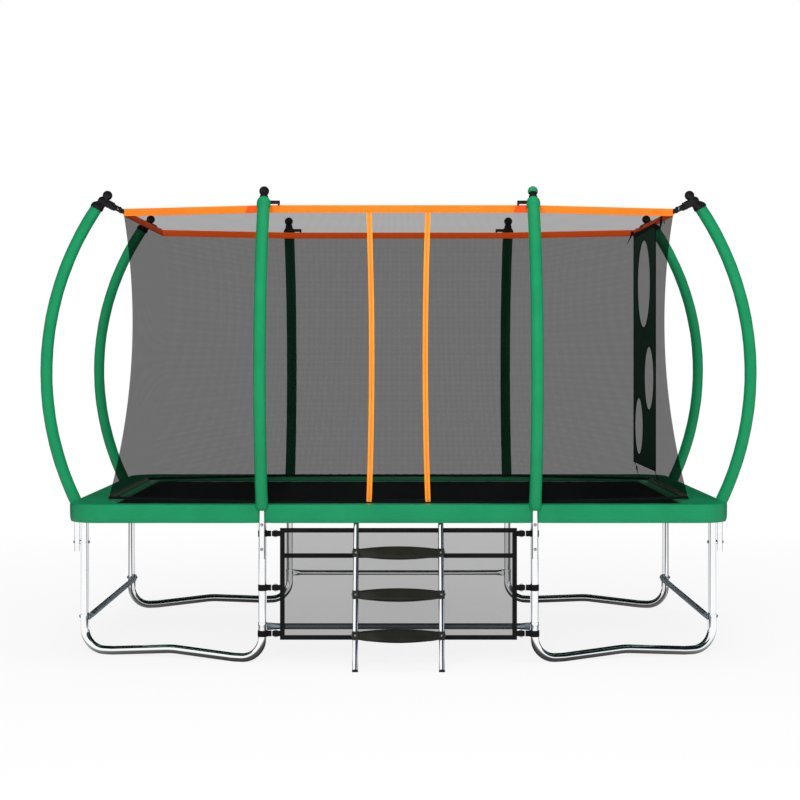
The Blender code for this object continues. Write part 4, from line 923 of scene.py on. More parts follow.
def makeCaps():
    top, along = poleTop()
    bodyModel = makeCapBody(top, along)
    clips = []
    tipHeight = net["top"] - cap["bandHeight"] / 2
    neck = top + along * cap["armRise"]
    for post, (x, y, turn) in posts.items():
        sidePost = turn in (0, 180)
        corner = netCorner(sidePost, tipHeight)
        corner.y *= (1 if (y < 0) == (turn == 0) else -1) if sidePost else 0
        level = Vector((corner.x - neck.x, corner.y - neck.y, 0)).normalized()
        tip = corner + level * (0.006 if sidePost else 0.001)
        tip.z = tipHeight + 0.004
        if sidePost:
            parts, clip = makeCornerArm(neck + level * cap["ballShift"] / 2, tip)
            clip.data.transform(postMatrix(post))
            clips.append(clip)
        else:
            parts = makeHookedArm(neck, tip, level, 1 if post in ("front_right", "rear_left") else -1)
        body = copyTo(bodyModel, Matrix.Identity(4))
        if sidePost:
            # above its collar a corner cap leans in over its arm
            for vertex in body.data.vertices:
                rise = (vertex.co - top).dot(along)
                vertex.co += level * cap["ballShift"] * smoothStep((rise - 0.012) / 0.036)
                vertex.co.z -= 0.004 * smoothStep((rise - 0.02) / 0.04)
        whole = joinPieces(parts + [body])
        whole.data.transform(postMatrix(post))
        dress(whole, "cap_with_arm_" + post, "plastic", "frame", "cap_" + post)
        if turn == 270:
            makeGreenDome(top, along, post)
    dress(joinPieces(clips), "cap_clips", "bolt", "frame")
    discard(bodyModel)


makeCaps()
print("poles, sleeves and caps made")

pad = {
    "width": 0.17, "innerRadius": 0.11, "overhang": 0.047, "under": 0.8721, "top": 0.8856,
    "rounding": 0.013, "edgeUnder": 0.8548, "edgeTop": 0.8593, "skirt": 0.007, "skirtBottom": 0.7825,
    "slitPlay": 0.003, "spacing": 0.022, "slitWidth": 0.045, "slitPull": 0.012, "cornerSteps": 14,
    # stretches of the section: distance out from the outer face or the rail, and height over a level
    "hem": ((-0.0095, 0.0006), (-0.0082, 0), (-0.0064, 0.0008), (-0.0044, 0.0044), (-0.0028, 0.009),
            (-0.0034, 0.0105), (-0.0021, 0.0125), (-0.0008, 0.02)),
    "skirtHeights": (0.812, 0.826, 0.84, 0.853, 0.864, 0.871),
    "slope": ((-0.05, -0.0012), (-0.07, -0.003), (-0.09, -0.0052), (-0.108, -0.0082),
              (-0.122, -0.0112), (-0.133, -0.0145)),
    "edge": ((-0.141, 0.0078), (-0.1462, 0.0042), (-0.1485, 0.0012), (-0.1502, 0.0008), (-0.1525, 0.002),
             (-0.158, 0.0032), (-0.164, 0.0028), (-0.1685, 0.0014), (-0.1702, -0.001), (-0.1704, -0.006)),
    "welt": ((-0.1692, -0.0062), (-0.1668, -0.0062), (-0.1656, -0.0045), (-0.163, 0), (-0.12, 0), (-0.04, 0)),
}


def roundedOutline(halfX, halfY, radius, cornerSteps, spacing):
    # anticlockwise from the right-hand side: points and their outward directions, evenly spaced
    result = []
    for quarter, (sx, sy) in enumerate(((1, 1), (-1, 1), (-1, -1), (1, -1))):
        centre = Vector((sx * (halfX - radius), sy * (halfY - radius), 0))
        for k in range(cornerSteps + 1):
            angle = (quarter + k / cornerSteps) * pi / 2
            direction = Vector((cos(angle), sin(angle), 0))
            result.append((centre + radius * direction, direction))
        run = 2 * ((halfX if quarter % 2 == 0 else halfY) - radius)
        direction = Vector((cos((quarter + 1) * pi / 2), sin((quarter + 1) * pi / 2), 0))
        along = Vector((-direction.y, direction.x, 0))
        steps = ceil(run / spacing)
        last = result[-1][0]
        result += [(last + along * run * k / steps, direction) for k in range(1, steps)]
    return result


def padSection():
    # distance out from the rail's centre line and height, from the skirt's hem over the top and back
    outer, top, low, under = (pad[key] for key in ("overhang", "top", "skirtBottom", "under"))
    inner = outer - pad["skirt"]
    points = [(outer + out, low + rise) for out, rise in pad["hem"]]
    points += [(outer, z) for z in pad["skirtHeights"]]
    bend = pad["rounding"]
    for k in range(1, 7):
        angle = k / 6 * pi / 2
        points.append((outer - bend + bend * cos(angle), top - bend + bend * sin(angle)))
    points += [(out, top - 0.0004 * abs(out + 0.03) / 0.05) for out in (0.02, 0.005, -0.012, -0.03)]
    points += [(out, top + rise) for out, rise in pad["slope"]]
    points += [(out, pad["edgeTop"] + rise) for out, rise in pad["edge"]]
    points += [(out, pad["edgeUnder"] + rise) for out, rise in pad["welt"]]
    points += [(-0.032, under), (0.0, under), (inner - 0.007, under), (inner, under - 0.007)]
    return points + [(inner, 0.83), (inner - 0.0045, low + 0.002)]


def innerPoint(point, direction):
    # the point of the pad's inner edge beside a point of the rail's line
    radius, corner = pad["innerRadius"], trampoline["cornerRadius"]
    halfX, halfY = railX - pad["width"], railY - pad["width"]
    if abs(direction.x) > 0.9999:
        return Vector((direction.x * halfX, point.y / (railY - corner) * (halfY - radius), 0))
    if abs(direction.y) > 0.9999:
        return Vector((point.x / (railX - corner) * (halfX - radius), direction.y * halfY, 0))
    sx = 1 if point.x > 0 else -1
    sy = 1 if point.y > 0 else -1
    return Vector((sx * (halfX - radius), sy * (halfY - radius), 0)) + direction * radius


def skirtPush(out, height, travel, pull):
    # the skirt waves a little and is drawn in at the slits
    low = smoothStep((0.868 - height) / 0.08) if out > 0.02 else 0.0
    push = low * (0.0011 * sin(travel * 9.0 + 0.6) + 0.0008 * sin(travel * 23.0)) - 0.001 * low
    return push - low * pull * pad["slitPull"]


def topLift(out, height, travel):
    # the foam under the top is slightly uneven
    crown = smoothStep((0.14 + out) / 0.04) * smoothStep((0.03 - out) / 0.03)
    crown *= 1.0 if height > pad["edgeTop"] + 0.002 else 0.0
    uneven = 0.0007 * sin(travel * 7.3) * sin(out * 60 + travel * 3)
    return crown * (uneven + 0.0005 * sin(travel * 31 + out * 90)) - crown * 0.0006


def makePadRing():
    section = padSection()
    outline = roundedOutline(railX, railY, trampoline["cornerRadius"], pad["cornerSteps"], pad["spacing"])
    rows = []
    for number, (point, direction) in enumerate(outline):
        inner = innerPoint(point, direction)
        near = min((point - Vector((x, y, 0))).length for x, y, turn in posts.values())
        pull = exp(-(near / pad["slitWidth"]) ** 2)
        travel = number * pad["spacing"]
        row = []
        for out, height in section:
            spot = point + direction * out if out >= 0 else point.lerp(inner, -out / pad["width"])
            push = direction * skirtPush(out, height, travel, pull)
            row.append(spot + push + Vector((0, 0, height + topLift(out, height, travel))))
        rows.append(row)
    ring = meshFromRows("pad", rows, ring=True, loop=True)
    faceOutward(ring, merge=0.00002)
    return ring


def makeSlitCutter():
    # the room that each pole and the foot of its sleeve take in the pad
    lower, bow = poleLine(8)
    slit = pole["radius"] + pad["slitPlay"]
    roundSleeve = sleeve["radius"] + pad["slitPlay"] / 2
    lean = (bow[1] - bow[0]).normalized()
    shoulder = bow[0] - lean * pad["slitPlay"] / 2
    stations = [((pole["outboard"], 0, pad["skirtBottom"] - 0.02), slit)]
    stations += [(point, slit) for point in lower[1::2]]
    stations += [(shoulder, slit), (shoulder + lean * 0.0001, roundSleeve), (bow[1], roundSleeve)]
    cutters = []
    for post in posts:
        cutter = drawTube(stations, "Y", sides=28, capped=True)
        faceOutward(cutter, close=True)
        cutter.data.transform(postMatrix(post))
        cutters.append(cutter)
    return joinPieces(cutters)


def makePad():
    body, cutter = makePadRing(), makeSlitCutter()
    applyModifier(body, "BOOLEAN", operation="DIFFERENCE", object=cutter, solver="EXACT")
    discard(cutter)
    shade(body, 42)
    dress(body, "green_spring_pad", "pad", "frame", "spring_pad")


makePad()
print("pad made")

mat = {
    "inset": 0.19, "radius": 0.1, "half": 0.002, "hem": 0.05, "hemRise": 0.0016, "hemInset": 0.0005,
    "sides": {"front": (0, -1), "rear": (0, 1), "left": (-1, 0), "right": (1, 0)},
    "cut": {"front": (3.232, 1.006), "rear": (3.232, 1.006),
            "left": (2.012, 1.006), "right": (2.012, 1.006)},
}
matX, matY = railX - mat["inset"], railY - mat["inset"]


def sectorCuts(dx, dy, inset):
    # planes that leave one of four sectors, which meet at 45 degrees, with the mat's rounded corners
    if dx:
        cuts = [((dx * matX, y, railZ), (-dx, -1 if y < 0 else 1, 0)) for y in (-matY, matY)]
    else:
        cuts = [((x, dy * matY, railZ), (1 if x > 0 else -1, -dy, 0)) for x in (matX, -matX)]
        cuts.append(((0, 0, railZ), (0, -dy, 0)))
    for sx in (-1, 1):
        for sy in (-1, 1):
            for k in range(6):
                angle = (k + 0.5) * pi / 12
                away = Vector((sx * cos(angle), sy * sin(angle), 0))
                x = sx * (matX - inset - mat["radius"])
                y = sy * (matY - inset - mat["radius"])
                cuts.append((Vector((x, y, railZ)) + away * mat["radius"], away))
    return cuts


def makeMat():
    # four sectors of the mat, each a woven sheet and a webbing hem along its rim
    for name, (dx, dy) in mat["sides"].items():
        layers = []
        for lift, inset in ((mat["half"], 0), (mat["half"] + mat["hemRise"], mat["hemInset"])):
            layer = added(bpy.ops.mesh.primitive_grid_add, x_subdivisions=72, y_subdivisions=46, size=1,
                          location=(0, 0, railZ + lift))
            settle(layer, (2 * matX - 2 * inset, 2 * matY - 2 * inset, 1))
            makeActive(layer)
            enterEdit()
            cutOff(sectorCuts(dx, dy, inset))
            if inset:
                edge = Vector((dx * (matX - mat["hem"]), dy * (matY - mat["hem"]), 0))
                cutOff([(edge, (-dx, -dy, 0))])
            leaveEdit()
            layers.append(layer)
        sheet, hem = layers
        for layer, label, finish, thickness in ((sheet, "mat_", "mat", 2 * mat["half"]),
                                                (hem, "mat_hem_", "hem", mat["hemRise"])):
            applyModifier(layer, "SOLIDIFY", thickness=thickness, offset=-1)
            shade(layer)
            dress(layer, label + name, finish, None)
            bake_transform(layer)
        if name == "front":
            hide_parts("jumping_mat")


makeMat()

spring = {
    "along": 22, "across": 14, "radius": 0.0082, "wire": 0.0016, "turns": 26, "start": 0.04, "hook": 0.008,
    "webbing": 0.03, "webHalf": 0.0026,
    "ring": ((0.03, 0, 0), (0.016, -0.014, 0), (0.016, 0.014, 0), (0.03, 0, 0)),
}


def makeSprings():
    # a coil from a turned wire section, a hook at each end and a triangular ring on the webbing
    start, thin, size = spring["start"], spring["wire"], spring["radius"]
    length = mat["inset"] - trampoline["railRadius"] - start - spring["hook"]
    coil = added(bpy.ops.mesh.primitive_circle_add, vertices=4, radius=thin, location=(start, 0, size),
                 rotation=(radians(90), 0, 0))
    settle(coil)
    steps = spring["turns"] * 7
    applyModifier(coil, "SCREW", axis="X", angle=2 * pi * spring["turns"], screw_offset=length,
                  steps=steps, render_steps=steps, use_merge_vertices=False)
    parts = [coil]
    for x, way in ((start, -1), (start + length, 1)):
        line = ((0, size), (0.003, size * 0.6), (0.006, 0), (0.012, 0), (0.016, -0.004))
        path = [((x + way * out, 0, z), thin) for out, z in line]
        parts.append(drawTube(path, "Y", sides=6, capped=True))
    for a, b in zip(spring["ring"], spring["ring"][1:]):
        parts.append(drawTube([(a, 0.0017), (b, 0.0017)], "Z", sides=6, capped=True))
    model = joinPieces(parts)
    faceOutward(model, merge=0.00005)
    shade(model, 50)
    coils = []
    for x, y, turn, half, count in (
            (matX, 0, 0, matY, spring["across"]), (0, matY, 90, matX, spring["along"]),
            (-matX, 0, 180, matY, spring["across"]), (0, -matY, 270, matX, spring["along"])):
        along = Matrix.Rotation(radians(turn), 4, "Z")
        for k in range(count):
            shift = (half - mat["radius"]) * (2 * (k + 0.5) / count - 1)
            place = Matrix.Translation((x, y, railZ)) @ along @ Matrix.Translation((0, shift, 0))
            coils.append(copyTo(model, place))
    discard(model)
    dress(joinPieces(coils), "coil_springs", "bolt", "frame", "springs")
    inner, outer, tall, low = -0.001, spring["webbing"], spring["webHalf"], spring["webHalf"] - 0.0002
    section = ((inner, -tall), (inner, tall), (outer, low), (outer, -low))
    rows = [[point + direction * out + Vector((0, 0, railZ + rise)) for out, rise in section]
            for point, direction in roundedOutline(matX, matY, mat["radius"], 8, 0.1)]
    webbing = meshFromRows("webbing", rows, loop=True)
    faceOutward(webbing, merge=0.00002)
    shade(webbing)
    dress(webbing, "spring_webbing", "hem", "frame")


makeSprings()
print("mat and springs made")

# corners that each panel runs through, its body and its flat size
netPanels = {
    "net_front_right": ((1, 2, 3), "frame", (1.47, 1.70)),
    "net_right": ((3, 4), "frame", (1.66, 1.72)),
    "net_rear": ((4, 5, 6, 7), "frame", (3.26, 1.72)),
    "net_left": ((7, 8), "frame", (1.66, 1.72)),
    "net_front_left": ((8, 9, 10), "frame", (1.47, 1.70)),
    "net_door": ((0, 1), "door", (0.34, 1.69)),
}
netTrim = {
    "footDrop": 0.0085, "column": 0.045, "rows": 44, "fold": 0.0035, "hemHeight": 0.013, "hemHalf": 0.0019,
    "zipHalf": 0.015, "zipOut": 0.003, "zipSteps": 46, "bandColumn": 0.09,
    "lacePitch": 0.06, "laceReach": 0.009, "laceOut": 0.0035, "laceDrop": 0.008, "laceRise": 0.009,
    "laceRadius": 0.0018,
    # redder layers over the band just left of the front poles: corner before, from and to along X, slant of
    # the near end
    "laps": {"left": (8, -0.868, -0.77, 0.016), "right": (1, 0.65, 0.745, 0.012)}, "lapThin": 0.0006,
}


def netStations(members, spacing):
    # steps along a panel: corner before, corner after, share between them
    middle = netOutline(0.5)
    result = []
    for a, b in zip(members, members[1:]):
        count = ceil((middle[b % 10] - middle[a]).length / spacing)
        result += [(a, b % 10, k / count) for k in range(count)]
    return result + [(members[-2], members[-1] % 10, 1.0)]


def netSpot(station, height, offset=0.0):
    a, b, share = station
    outline = shiftOutline(netOutline(netShare(height)), offset)
    return outline[a].lerp(outline[b], share).to_3d() + Vector((0, 0, height))


def layFlat(piece, cells):
    # UV map in metres, one pair for each vertex
    layer = piece.data.uv_layers.new(name="cloth")
    for loop in piece.data.loops:
        layer.data[loop.index].uv = cells[loop.vertex_index]


def runLengths(points):
    total = [0.0]
    for before, after in zip(points, points[1:]):
        total.append(total[-1] + (after - before).length)
    return total


def netFold(along, run, height, low, high):
    # how far the cloth stands out: folds rise from the foot and hang from the band
    foot = 0.7 * exp(-(height - low) / 0.25)
    head = 0.6 * exp(-(high - height) / 0.3)
    quiet = sin(pi * along)
    fold = quiet * (foot * sin(run * 21 + 1.1) + 0.8 * head * sin(run * 14 + height * 6))
    fold += 0.35 * quiet * sin(height * 5.2 + run * 2.3)
    return fold * smoothStep((height - low - 0.02) / 0.05) * smoothStep((high - 0.045 - height) / 0.05)


def makeNetPanel(node, members, low):
    stations = netStations(members, netTrim["column"])
    lengths = runLengths([netSpot(station, 1.7) for station in stations])
    high = net["top"] - 0.004
    rows = []
    cells = []
    for r in range(netTrim["rows"] + 1):
        height = low + (high - low) * r / netTrim["rows"]
        row = []
        for (a, b, along), run in zip(stations, lengths):
            way = netSpot((a, b, 1.0), height) - netSpot((a, b, 0.0), height)
            outward = Vector((way.y, -way.x, 0)).normalized()
            fold = netFold(along, run, height, low, high) * netTrim["fold"]
            row.append(netSpot((a, b, along), height) + outward * fold)
            cells.append((run, height))
        rows.append(row)
    cloth = meshFromRows(node, rows, ring=False)
    layFlat(cloth, cells)
    shade(cloth, 60)
    return cloth


def ribbonAlong(name, stations, section):
    # closed ribbon that follows the net: section is (height, offset) pairs
    rows = [[netSpot(station, height, offset) for height, offset in section] for station in stations]
    lengths = runLengths([row[0] for row in rows])
    around = runLengths([Vector((height, offset, 0)) for height, offset in section])
    ribbon = meshFromRows(name, rows, ring=True, capped=True)
    layFlat(ribbon, [(run, across) for run in lengths for across in around])
    faceOutward(ribbon)
    shade(ribbon, 50)
    return ribbon


def shadeBandInside(band):
    # painted shade: the band's inner face is redder, so faces that look towards the middle take the second
    # finish
    band.data.materials.append(finishes["bandInsideShade"])
    for face in band.data.polygons:
        if face.normal.x * face.center.x + face.normal.y * face.center.y < 0:
            face.material_index = 1


def bandSection(extra=0.0):
    high = net["top"]
    low = high - net["band"]
    half = net["bandHalf"] + extra
    out = [(low, half * 0.45), (low + 0.004, half * 0.8), (low + 0.012, half), (high - 0.012, half),
           (high - 0.004, half * 0.8), (high, half * 0.35)]
    return out + [(height, -offset) for height, offset in reversed(out)]


def makeZipHalf(name, corner, side):
    # half of a zip's tape, from the pad to the band, with its row of teeth
    low, high = net["bottom"] - 0.001, net["top"] - net["band"] + 0.002
    wide, half = netTrim["zipHalf"], netTrim["zipOut"]
    tape = ((0.0006, half), (wide, half * 0.6), (wide, -half * 0.6), (0.0006, -half))
    teeth = ((0.0003, half + 0.0014), (0.0024, half + 0.0012), (0.0028, half * 0.9), (0.0003, half * 0.9))
    steps = netTrim["zipSteps"]
    heights = [low + (high - low) * r / steps for r in range(steps + 1)]
    pieces = []
    for kind, section in (("tape", tape), ("teeth", teeth)):
        rows = []
        for height in heights:
            edge = netSpot((0, 1, float(corner)), height)
            rows.append([edge + Vector((side * across, -offset, 0)) for across, offset in section])
        piece = meshFromRows(name + "_" + kind, rows, ring=True, capped=True)
        lengths = runLengths([row[0] for row in rows])
        layFlat(piece, [(run, across * 0.007) for run in lengths for across in range(4)])
        faceOutward(piece, merge=0.00002)
        shade(piece, 40)
        pieces.append(piece)
    return pieces


def makeLace(name, members, finish):
    # elastic lace that ties the foot of the net to the pad's inner seam
    points = []
    for k, station in enumerate(netStations(members, netTrim["lacePitch"] / 2)):
        inside = k % 2 == 1
        out = -netTrim["laceReach"] if inside else netTrim["laceOut"]
        spot = netSpot(station, net["bottom"] + 0.001, out)
        spot.z = net["bottom"] - netTrim["laceDrop"] if inside else net["bottom"] + netTrim["laceRise"]
        points.append(spot)
    curve = bpy.data.curves.new(name, "CURVE")
    curve.dimensions = "3D"
    curve.bevel_depth = netTrim["laceRadius"]
    curve.bevel_resolution = 1
    line = curve.splines.new("POLY")
    line.points.add(len(points) - 1)
    for knot, spot in zip(line.points, points):
        knot.co = (*spot, 1)
    makeActive(linked(name, curve))
    bpy.ops.object.convert(target="MESH")
    lace = bpy.context.object
    shade(lace, 60)
    dress(lace, name, finish, "frame")


def makeNet():
    hem, out = netTrim["hemHeight"], netTrim["hemHalf"]
    for node, (members, body, cut) in netPanels.items():
        low = net["bottom"] - (netTrim["footDrop"] if node != "net_door" else 0)
        cloth = makeNetPanel(node, members, low)
        dress(cloth, "cloth_" + node, "net", body, node)
        stations = netStations(members, netTrim["bandColumn"])
        band = ribbonAlong("band", stations, bandSection())
        dress(band, "band_" + node, "orange", body)
        shadeBandInside(band)
        foot = [(low - 0.0015, 0.0008), (low, out), (low + hem, out), (low + hem, -out), (low, -out)]
        webbing = ribbonAlong("foot hem", stations, foot)
        dress(webbing, "foot_hem_" + node, "hem", body)
        if node != "net_door":
            # the side panels' lace takes the pale finish as a painted highlight
            makeLace("lace_" + node, members, "lace" if len(members) == 2 else "hem")
    for corner, outward, label in ((0, -1, "left"), (1, 1, "right")):
        for side, body, part in ((outward, "frame", "_panel"), (-outward, "door", "_door")):
            tape, teeth = makeZipHalf("zip_" + label + part, corner, side)
            dress(tape, "zip_tape_" + label + part, "zipTape", body)
            dress(teeth, "zip_teeth_" + label + part, "zipTeeth", body)


makeNet()


def makeBandLaps():
    # a second, redder layer laid over the band, its near end cut on a slant
    for name, (a, start, end, slant) in netTrim["laps"].items():
        rows = []
        for k in range(9):
            row = []
            for height, offset in bandSection(0.0008)[:6]:
                lift = (height - net["top"] + net["band"]) / net["band"]
                x = start + slant * lift * (1 - k / 8) + (end - start) * k / 8
                corners = shiftOutline(netOutline(netShare(height)), offset + 0.0004)
                first, second = corners[a], corners[a + 1]
                spot = first.lerp(second, (x - first.x) / (second.x - first.x))
                row.append(Vector((spot.x, spot.y, height)))
            rows.append(row)
        lap = meshFromRows("lap", rows, ring=False)
        layFlat(lap, [(r * 0.012, c * 0.008) for r in range(9) for c in range(6)])
        applyModifier(lap, "SOLIDIFY", thickness=netTrim["lapThin"], offset=1)
        shade(lap, 50)
        dress(lap, "band_lap_" + name, "redPatch", "frame")


makeBandLaps()
print("net made")


def makeStrap(path, across, halfWidth, halfThin, taper=1.0):
    # flat webbing along a path, with softened edges; taper is the width left at its end
    points = [Vector(point) for point in path]
    across = Vector(across).normalized()
    rows = []
    for k, (point, way) in enumerate(zip(points, headings(points))):
        square = way.cross(across).normalized()
        wide = halfWidth * (1 + (taper - 1) * k / (len(points) - 1))
        rows.append([point + across * wide * a + square * halfThin * b for a, b in (
            (-1, 0.3), (-0.8, 1), (0.8, 1), (1, 0.3), (1, -0.3), (0.8, -1), (-0.8, -1), (-1, -0.3))])
    strap = meshFromRows("strap", rows, ring=True, capped=True)
    faceOutward(strap, merge=0.00002)
    shade(strap, 40)
    return strap


def smoothPath(points, steps=5):
    # rounded line through the given points
    points = [Vector(point) for point in points]
    line = [2 * points[0] - points[1]] + points + [2 * points[-1] - points[-2]]
    result = []
    for a, b, c, d in zip(line, line[1:], line[2:], line[3:]):
        for t in [k / steps for k in range(steps)]:
            curve = (2 * a - 5 * b + 4 * c - d) * t * t + (3 * b - a - 3 * c + d) * t ** 3
            result.append(0.5 * ((2 * b) + (c - a) * t + curve))
    return result + [points[-1]]


def makeTorus(spot, turn, major, minor, majorSteps, minorSteps, scale=None):
    ring = added(bpy.ops.mesh.primitive_torus_add, major_radius=major, minor_radius=minor,
                 major_segments=majorSteps, minor_segments=minorSteps, location=spot, rotation=turn)
    settle(ring, scale)
    return ring


target = {
    "x": 1.54445, "front": -0.437, "rear": 0.506, "bottom": 1.02, "top": 2.507,
    "thick": 0.0022, "piping": 0.0045,
    "holes": ((0.056, 2.164, 0.277), (-0.169, 1.573, 0.1975), (0.27, 1.261, 0.183)),
    "strapHalf": 0.0125, "strapThin": 0.0009, "strapInset": 0.03,
    "bandX": 1.59495, "padX": 1.672, "padZ": 0.8895,
    "reachHalf": 0.011, "bandPlay": 0.0016, "tailTaper": 0.12,
}


def makePanel(x, wide, tall):
    # canvas with three piped holes and a piped edge
    middle = (x, (target["front"] + target["rear"]) / 2, (target["bottom"] + target["top"]) / 2)
    quarter = (0, radians(90), 0)
    panel = added(bpy.ops.mesh.primitive_grid_add, x_subdivisions=40, y_subdivisions=26, size=1,
                  location=middle, rotation=quarter)
    settle(panel, (tall, wide, 1))
    applyModifier(panel, "SOLIDIFY", thickness=target["thick"], offset=0)
    rings = []
    for y, z, radius in target["holes"]:
        hole = added(bpy.ops.mesh.primitive_cylinder_add, vertices=64, radius=radius, depth=0.04,
                     location=(x, y, z), rotation=quarter)
        applyModifier(panel, "BOOLEAN", operation="DIFFERENCE", object=hole, solver="EXACT")
        discard(hole)
        ring = makeTorus((x, y, z), quarter, radius, target["piping"], 72, 10)
        for vertex in ring.data.vertices:
            vertex.co.x = x + (vertex.co.x - x) * 0.6
        rings.append(ring)
    for vertex in panel.data.vertices:
        y, z = vertex.co.y, vertex.co.z
        vertex.co.x += 0.0022 * sin(z * 5.1 + y * 3) * sin((y - target["front"]) / wide * pi)
    shade(panel, 50)
    dress(panel, "canvas_target", "target", "frame", "target_panel")
    front, rear, bottom, top = (target[key] for key in ("front", "rear", "bottom", "top"))
    corners = [(x, front, bottom), (x, rear, bottom), (x, rear, top), (x, front, top)]
    for a, b in zip(corners, corners[1:] + corners[:1]):
        rings.append(makeStrap([a, b], (1, 0, 0), target["piping"] * 0.7, target["piping"] * 0.9))
    for ring in rings:
        shade(ring, 50)
    return panel, dress(joinPieces(rings), "target_piping", "hem", "frame")


buckle = {"apart": 0.022, "half": 0.016, "sideHalf": 0.015, "sideReach": 0.013, "bar": (0.003, 0.0024)}


def makeBuckle(name, spot):
    # two bars across the strap and two along it
    parts = []
    for z in (spot.z, spot.z - buckle["apart"]):
        bar = [(spot.x, spot.y + out, z) for out in (-buckle["half"], buckle["half"])]
        parts.append(makeStrap(bar, (0, 0, 1), *buckle["bar"]))
    low = spot.z - buckle["apart"] / 2
    for y in (spot.y - buckle["sideHalf"], spot.y + buckle["sideHalf"]):
        bar = [(spot.x, y, low + out) for out in (-buckle["sideReach"], buckle["sideReach"])]
        parts.append(makeStrap(bar, (0, 1, 0), *buckle["bar"]))
    dress(joinPieces(parts), name, "plastic", "frame")


def makeTies():
    # at both ends a strap over the band, one down to the pad and its buckle
    x, bottom, high = (target[key] for key in ("x", "bottom", "top"))
    band, top, half = target["bandX"], net["top"], target["strapHalf"]
    clear = net["bandHalf"] + target["bandPlay"]
    straps = []
    for y in (target["front"] + target["strapInset"], target["rear"] - target["strapInset"]):
        over = [(x, high - 0.035), (x, high), (band - 0.02, top - 0.022), (band - clear, top - 0.004),
                (band, top + 0.0025), (band + clear, top - 0.005), (band + clear + 0.003, top - 0.055)]
        tie = [(x, bottom + 0.03), (x, bottom), (x + 0.018, bottom - 0.045), (x + 0.03, bottom - 0.09),
               (target["padX"], target["padZ"])]
        for line, width in ((over, half), (tie, half * 0.8)):
            path = smoothPath([(out, y, z) for out, z in line])
            straps.append(makeStrap(path, (0, 1, 0), width, target["strapThin"]))
        makeBuckle("target_buckle_" + ("front" if y < 0 else "rear"), Vector((x + 0.014, y, bottom - 0.03)))
    return straps


def makeLooseEnds():
    # the strap that reaches to the rear corner, then its loose end and that of the front strap
    x, rear, high, thin = (target[key] for key in ("x", "rear", "top", "strapThin"))
    band, top, y = target["bandX"], net["top"], target["front"] + target["strapInset"]
    clear = net["bandHalf"] + target["bandPlay"]
    reach = [(x, rear - 0.015, high - 0.012), (x + 0.014, rear + 0.13, high + 0.01),
             (band - 0.018, rear + 0.29, top - 0.02)]
    frontTail = [(band - clear - 0.002, y - 0.004, top - 0.012), (band - clear - 0.01, y - 0.02, top - 0.045),
                 (band - clear - 0.016, y - 0.03, top - 0.075), (band - clear - 0.03, y - 0.046, top - 0.115)]
    rearTail = [(band - 0.02, rear + 0.29, top - 0.012), (band - 0.03, rear + 0.292, top - 0.045),
                (band - 0.056, rear + 0.3, top - 0.098)]
    straps = [makeStrap(smoothPath(reach), (0, 0, 1), target["reachHalf"], thin)]
    for path, across in ((frontTail, (1, -0.35, 0)), (rearTail, (1, 0.35, 0))):
        wide = target["strapHalf"] * 0.95
        straps.append(makeStrap(smoothPath(path), across, wide, thin, target["tailTaper"]))
    return straps


def makeTarget():
    x, front, rear, high = (target[key] for key in ("x", "front", "rear", "top"))
    wide, tall = rear - front, high - target["bottom"]
    panel, piping = makePanel(x, wide, tall)
    straps = makeTies() + makeLooseEnds()
    edge = [(x - 0.001, y, high - 0.011) for y in (front + 0.004, rear - 0.004)]
    straps.append(makeStrap(edge, (0, 0, 1), target["reachHalf"], target["thick"]))
    trim = dress(joinPieces(straps), "target_straps", "hem", "frame")
    area = wide * tall - sum(pi * radius ** 2 for y, z, radius in target["holes"])


makeTarget()

goal = {
    "half": 0.66, "bottom": 0.129, "top": 0.752, "border": 0.0262, "cross": 0.598, "thick": 0.0015,
    "straps": (0.1645, 0.42, 0.721), "strapHalf": 0.0172, "loops": (0.0268, 0.0246, 0.0246),
    "columns": 44, "levels": 22, "ring": 0.0195, "ringWire": 0.0013,
    # parts of a side strap: half width, half thickness and taper
    "lap": (0.0165, 0.0028, 1.0), "webbing": (0.0142, 0.0026, 1.1), "sewn": (0.0178, 0.0036, 0.96),
}


def makeGoalCloth(y, low, high):
    inner = goal["half"] - goal["border"] / 2
    columns, levels = goal["columns"], goal["levels"]
    rows = []
    cells = []
    for r in range(levels + 1):
        z = low + 0.003 + (high - low - 0.006) * r / levels
        row = []
        for c in range(columns + 1):
            x = -inner + 2 * inner * c / columns
            calm = sin(pi * c / columns) * sin(pi * r / levels)
            row.append(Vector((x, y + 0.0016 * calm * sin(x * 17 + z * 9), z)))
            cells.append((x, z))
        rows.append(row)
    cloth = meshFromRows("goal", rows, ring=False)
    layFlat(cloth, cells)
    shade(cloth, 60)
    return dress(cloth, "goal_mesh", "goal", "frame", "goal_net")


def makeGoalStraps(y):
    # loops round the posts, with webbing, a sewn lap and a ring between each and the net
    straps = []
    rings = []
    for side in (-1, 1):
        postSpot = side * postX
        far = side * (goal["half"] - 0.004)
        for z, radius in zip(goal["straps"], goal["loops"]):
            angles = [k * pi / 14 for k in range(29)]
            loop = [(postSpot - side * radius * cos(angle), y + radius * sin(angle), z) for angle in angles]
            straps.append(makeStrap(loop, (0, 0, 1), goal["strapHalf"], 0.0012))
            near = postSpot - side * (radius - 0.001)
            ring = (near - side * 0.021 + far) / 2
            for start, end, size in (
                    (near, near - side * 0.024, goal["lap"]), (near - side * 0.0275, far, goal["webbing"]),
                    (ring - side * 0.012, ring + side * 0.014, goal["sewn"])):
                straps.append(makeStrap([(start, y, z), (end, y, z)], (0, 0, 1), *size))
            loopRing = makeTorus((ring + side * 0.001, y, z), (radians(90), 0, 0),
                                 goal["ring"], goal["ringWire"], 28, 8, (0.5, 1.1, 1))
            shade(loopRing, 60)
            rings.append(loopRing)
    return straps, rings


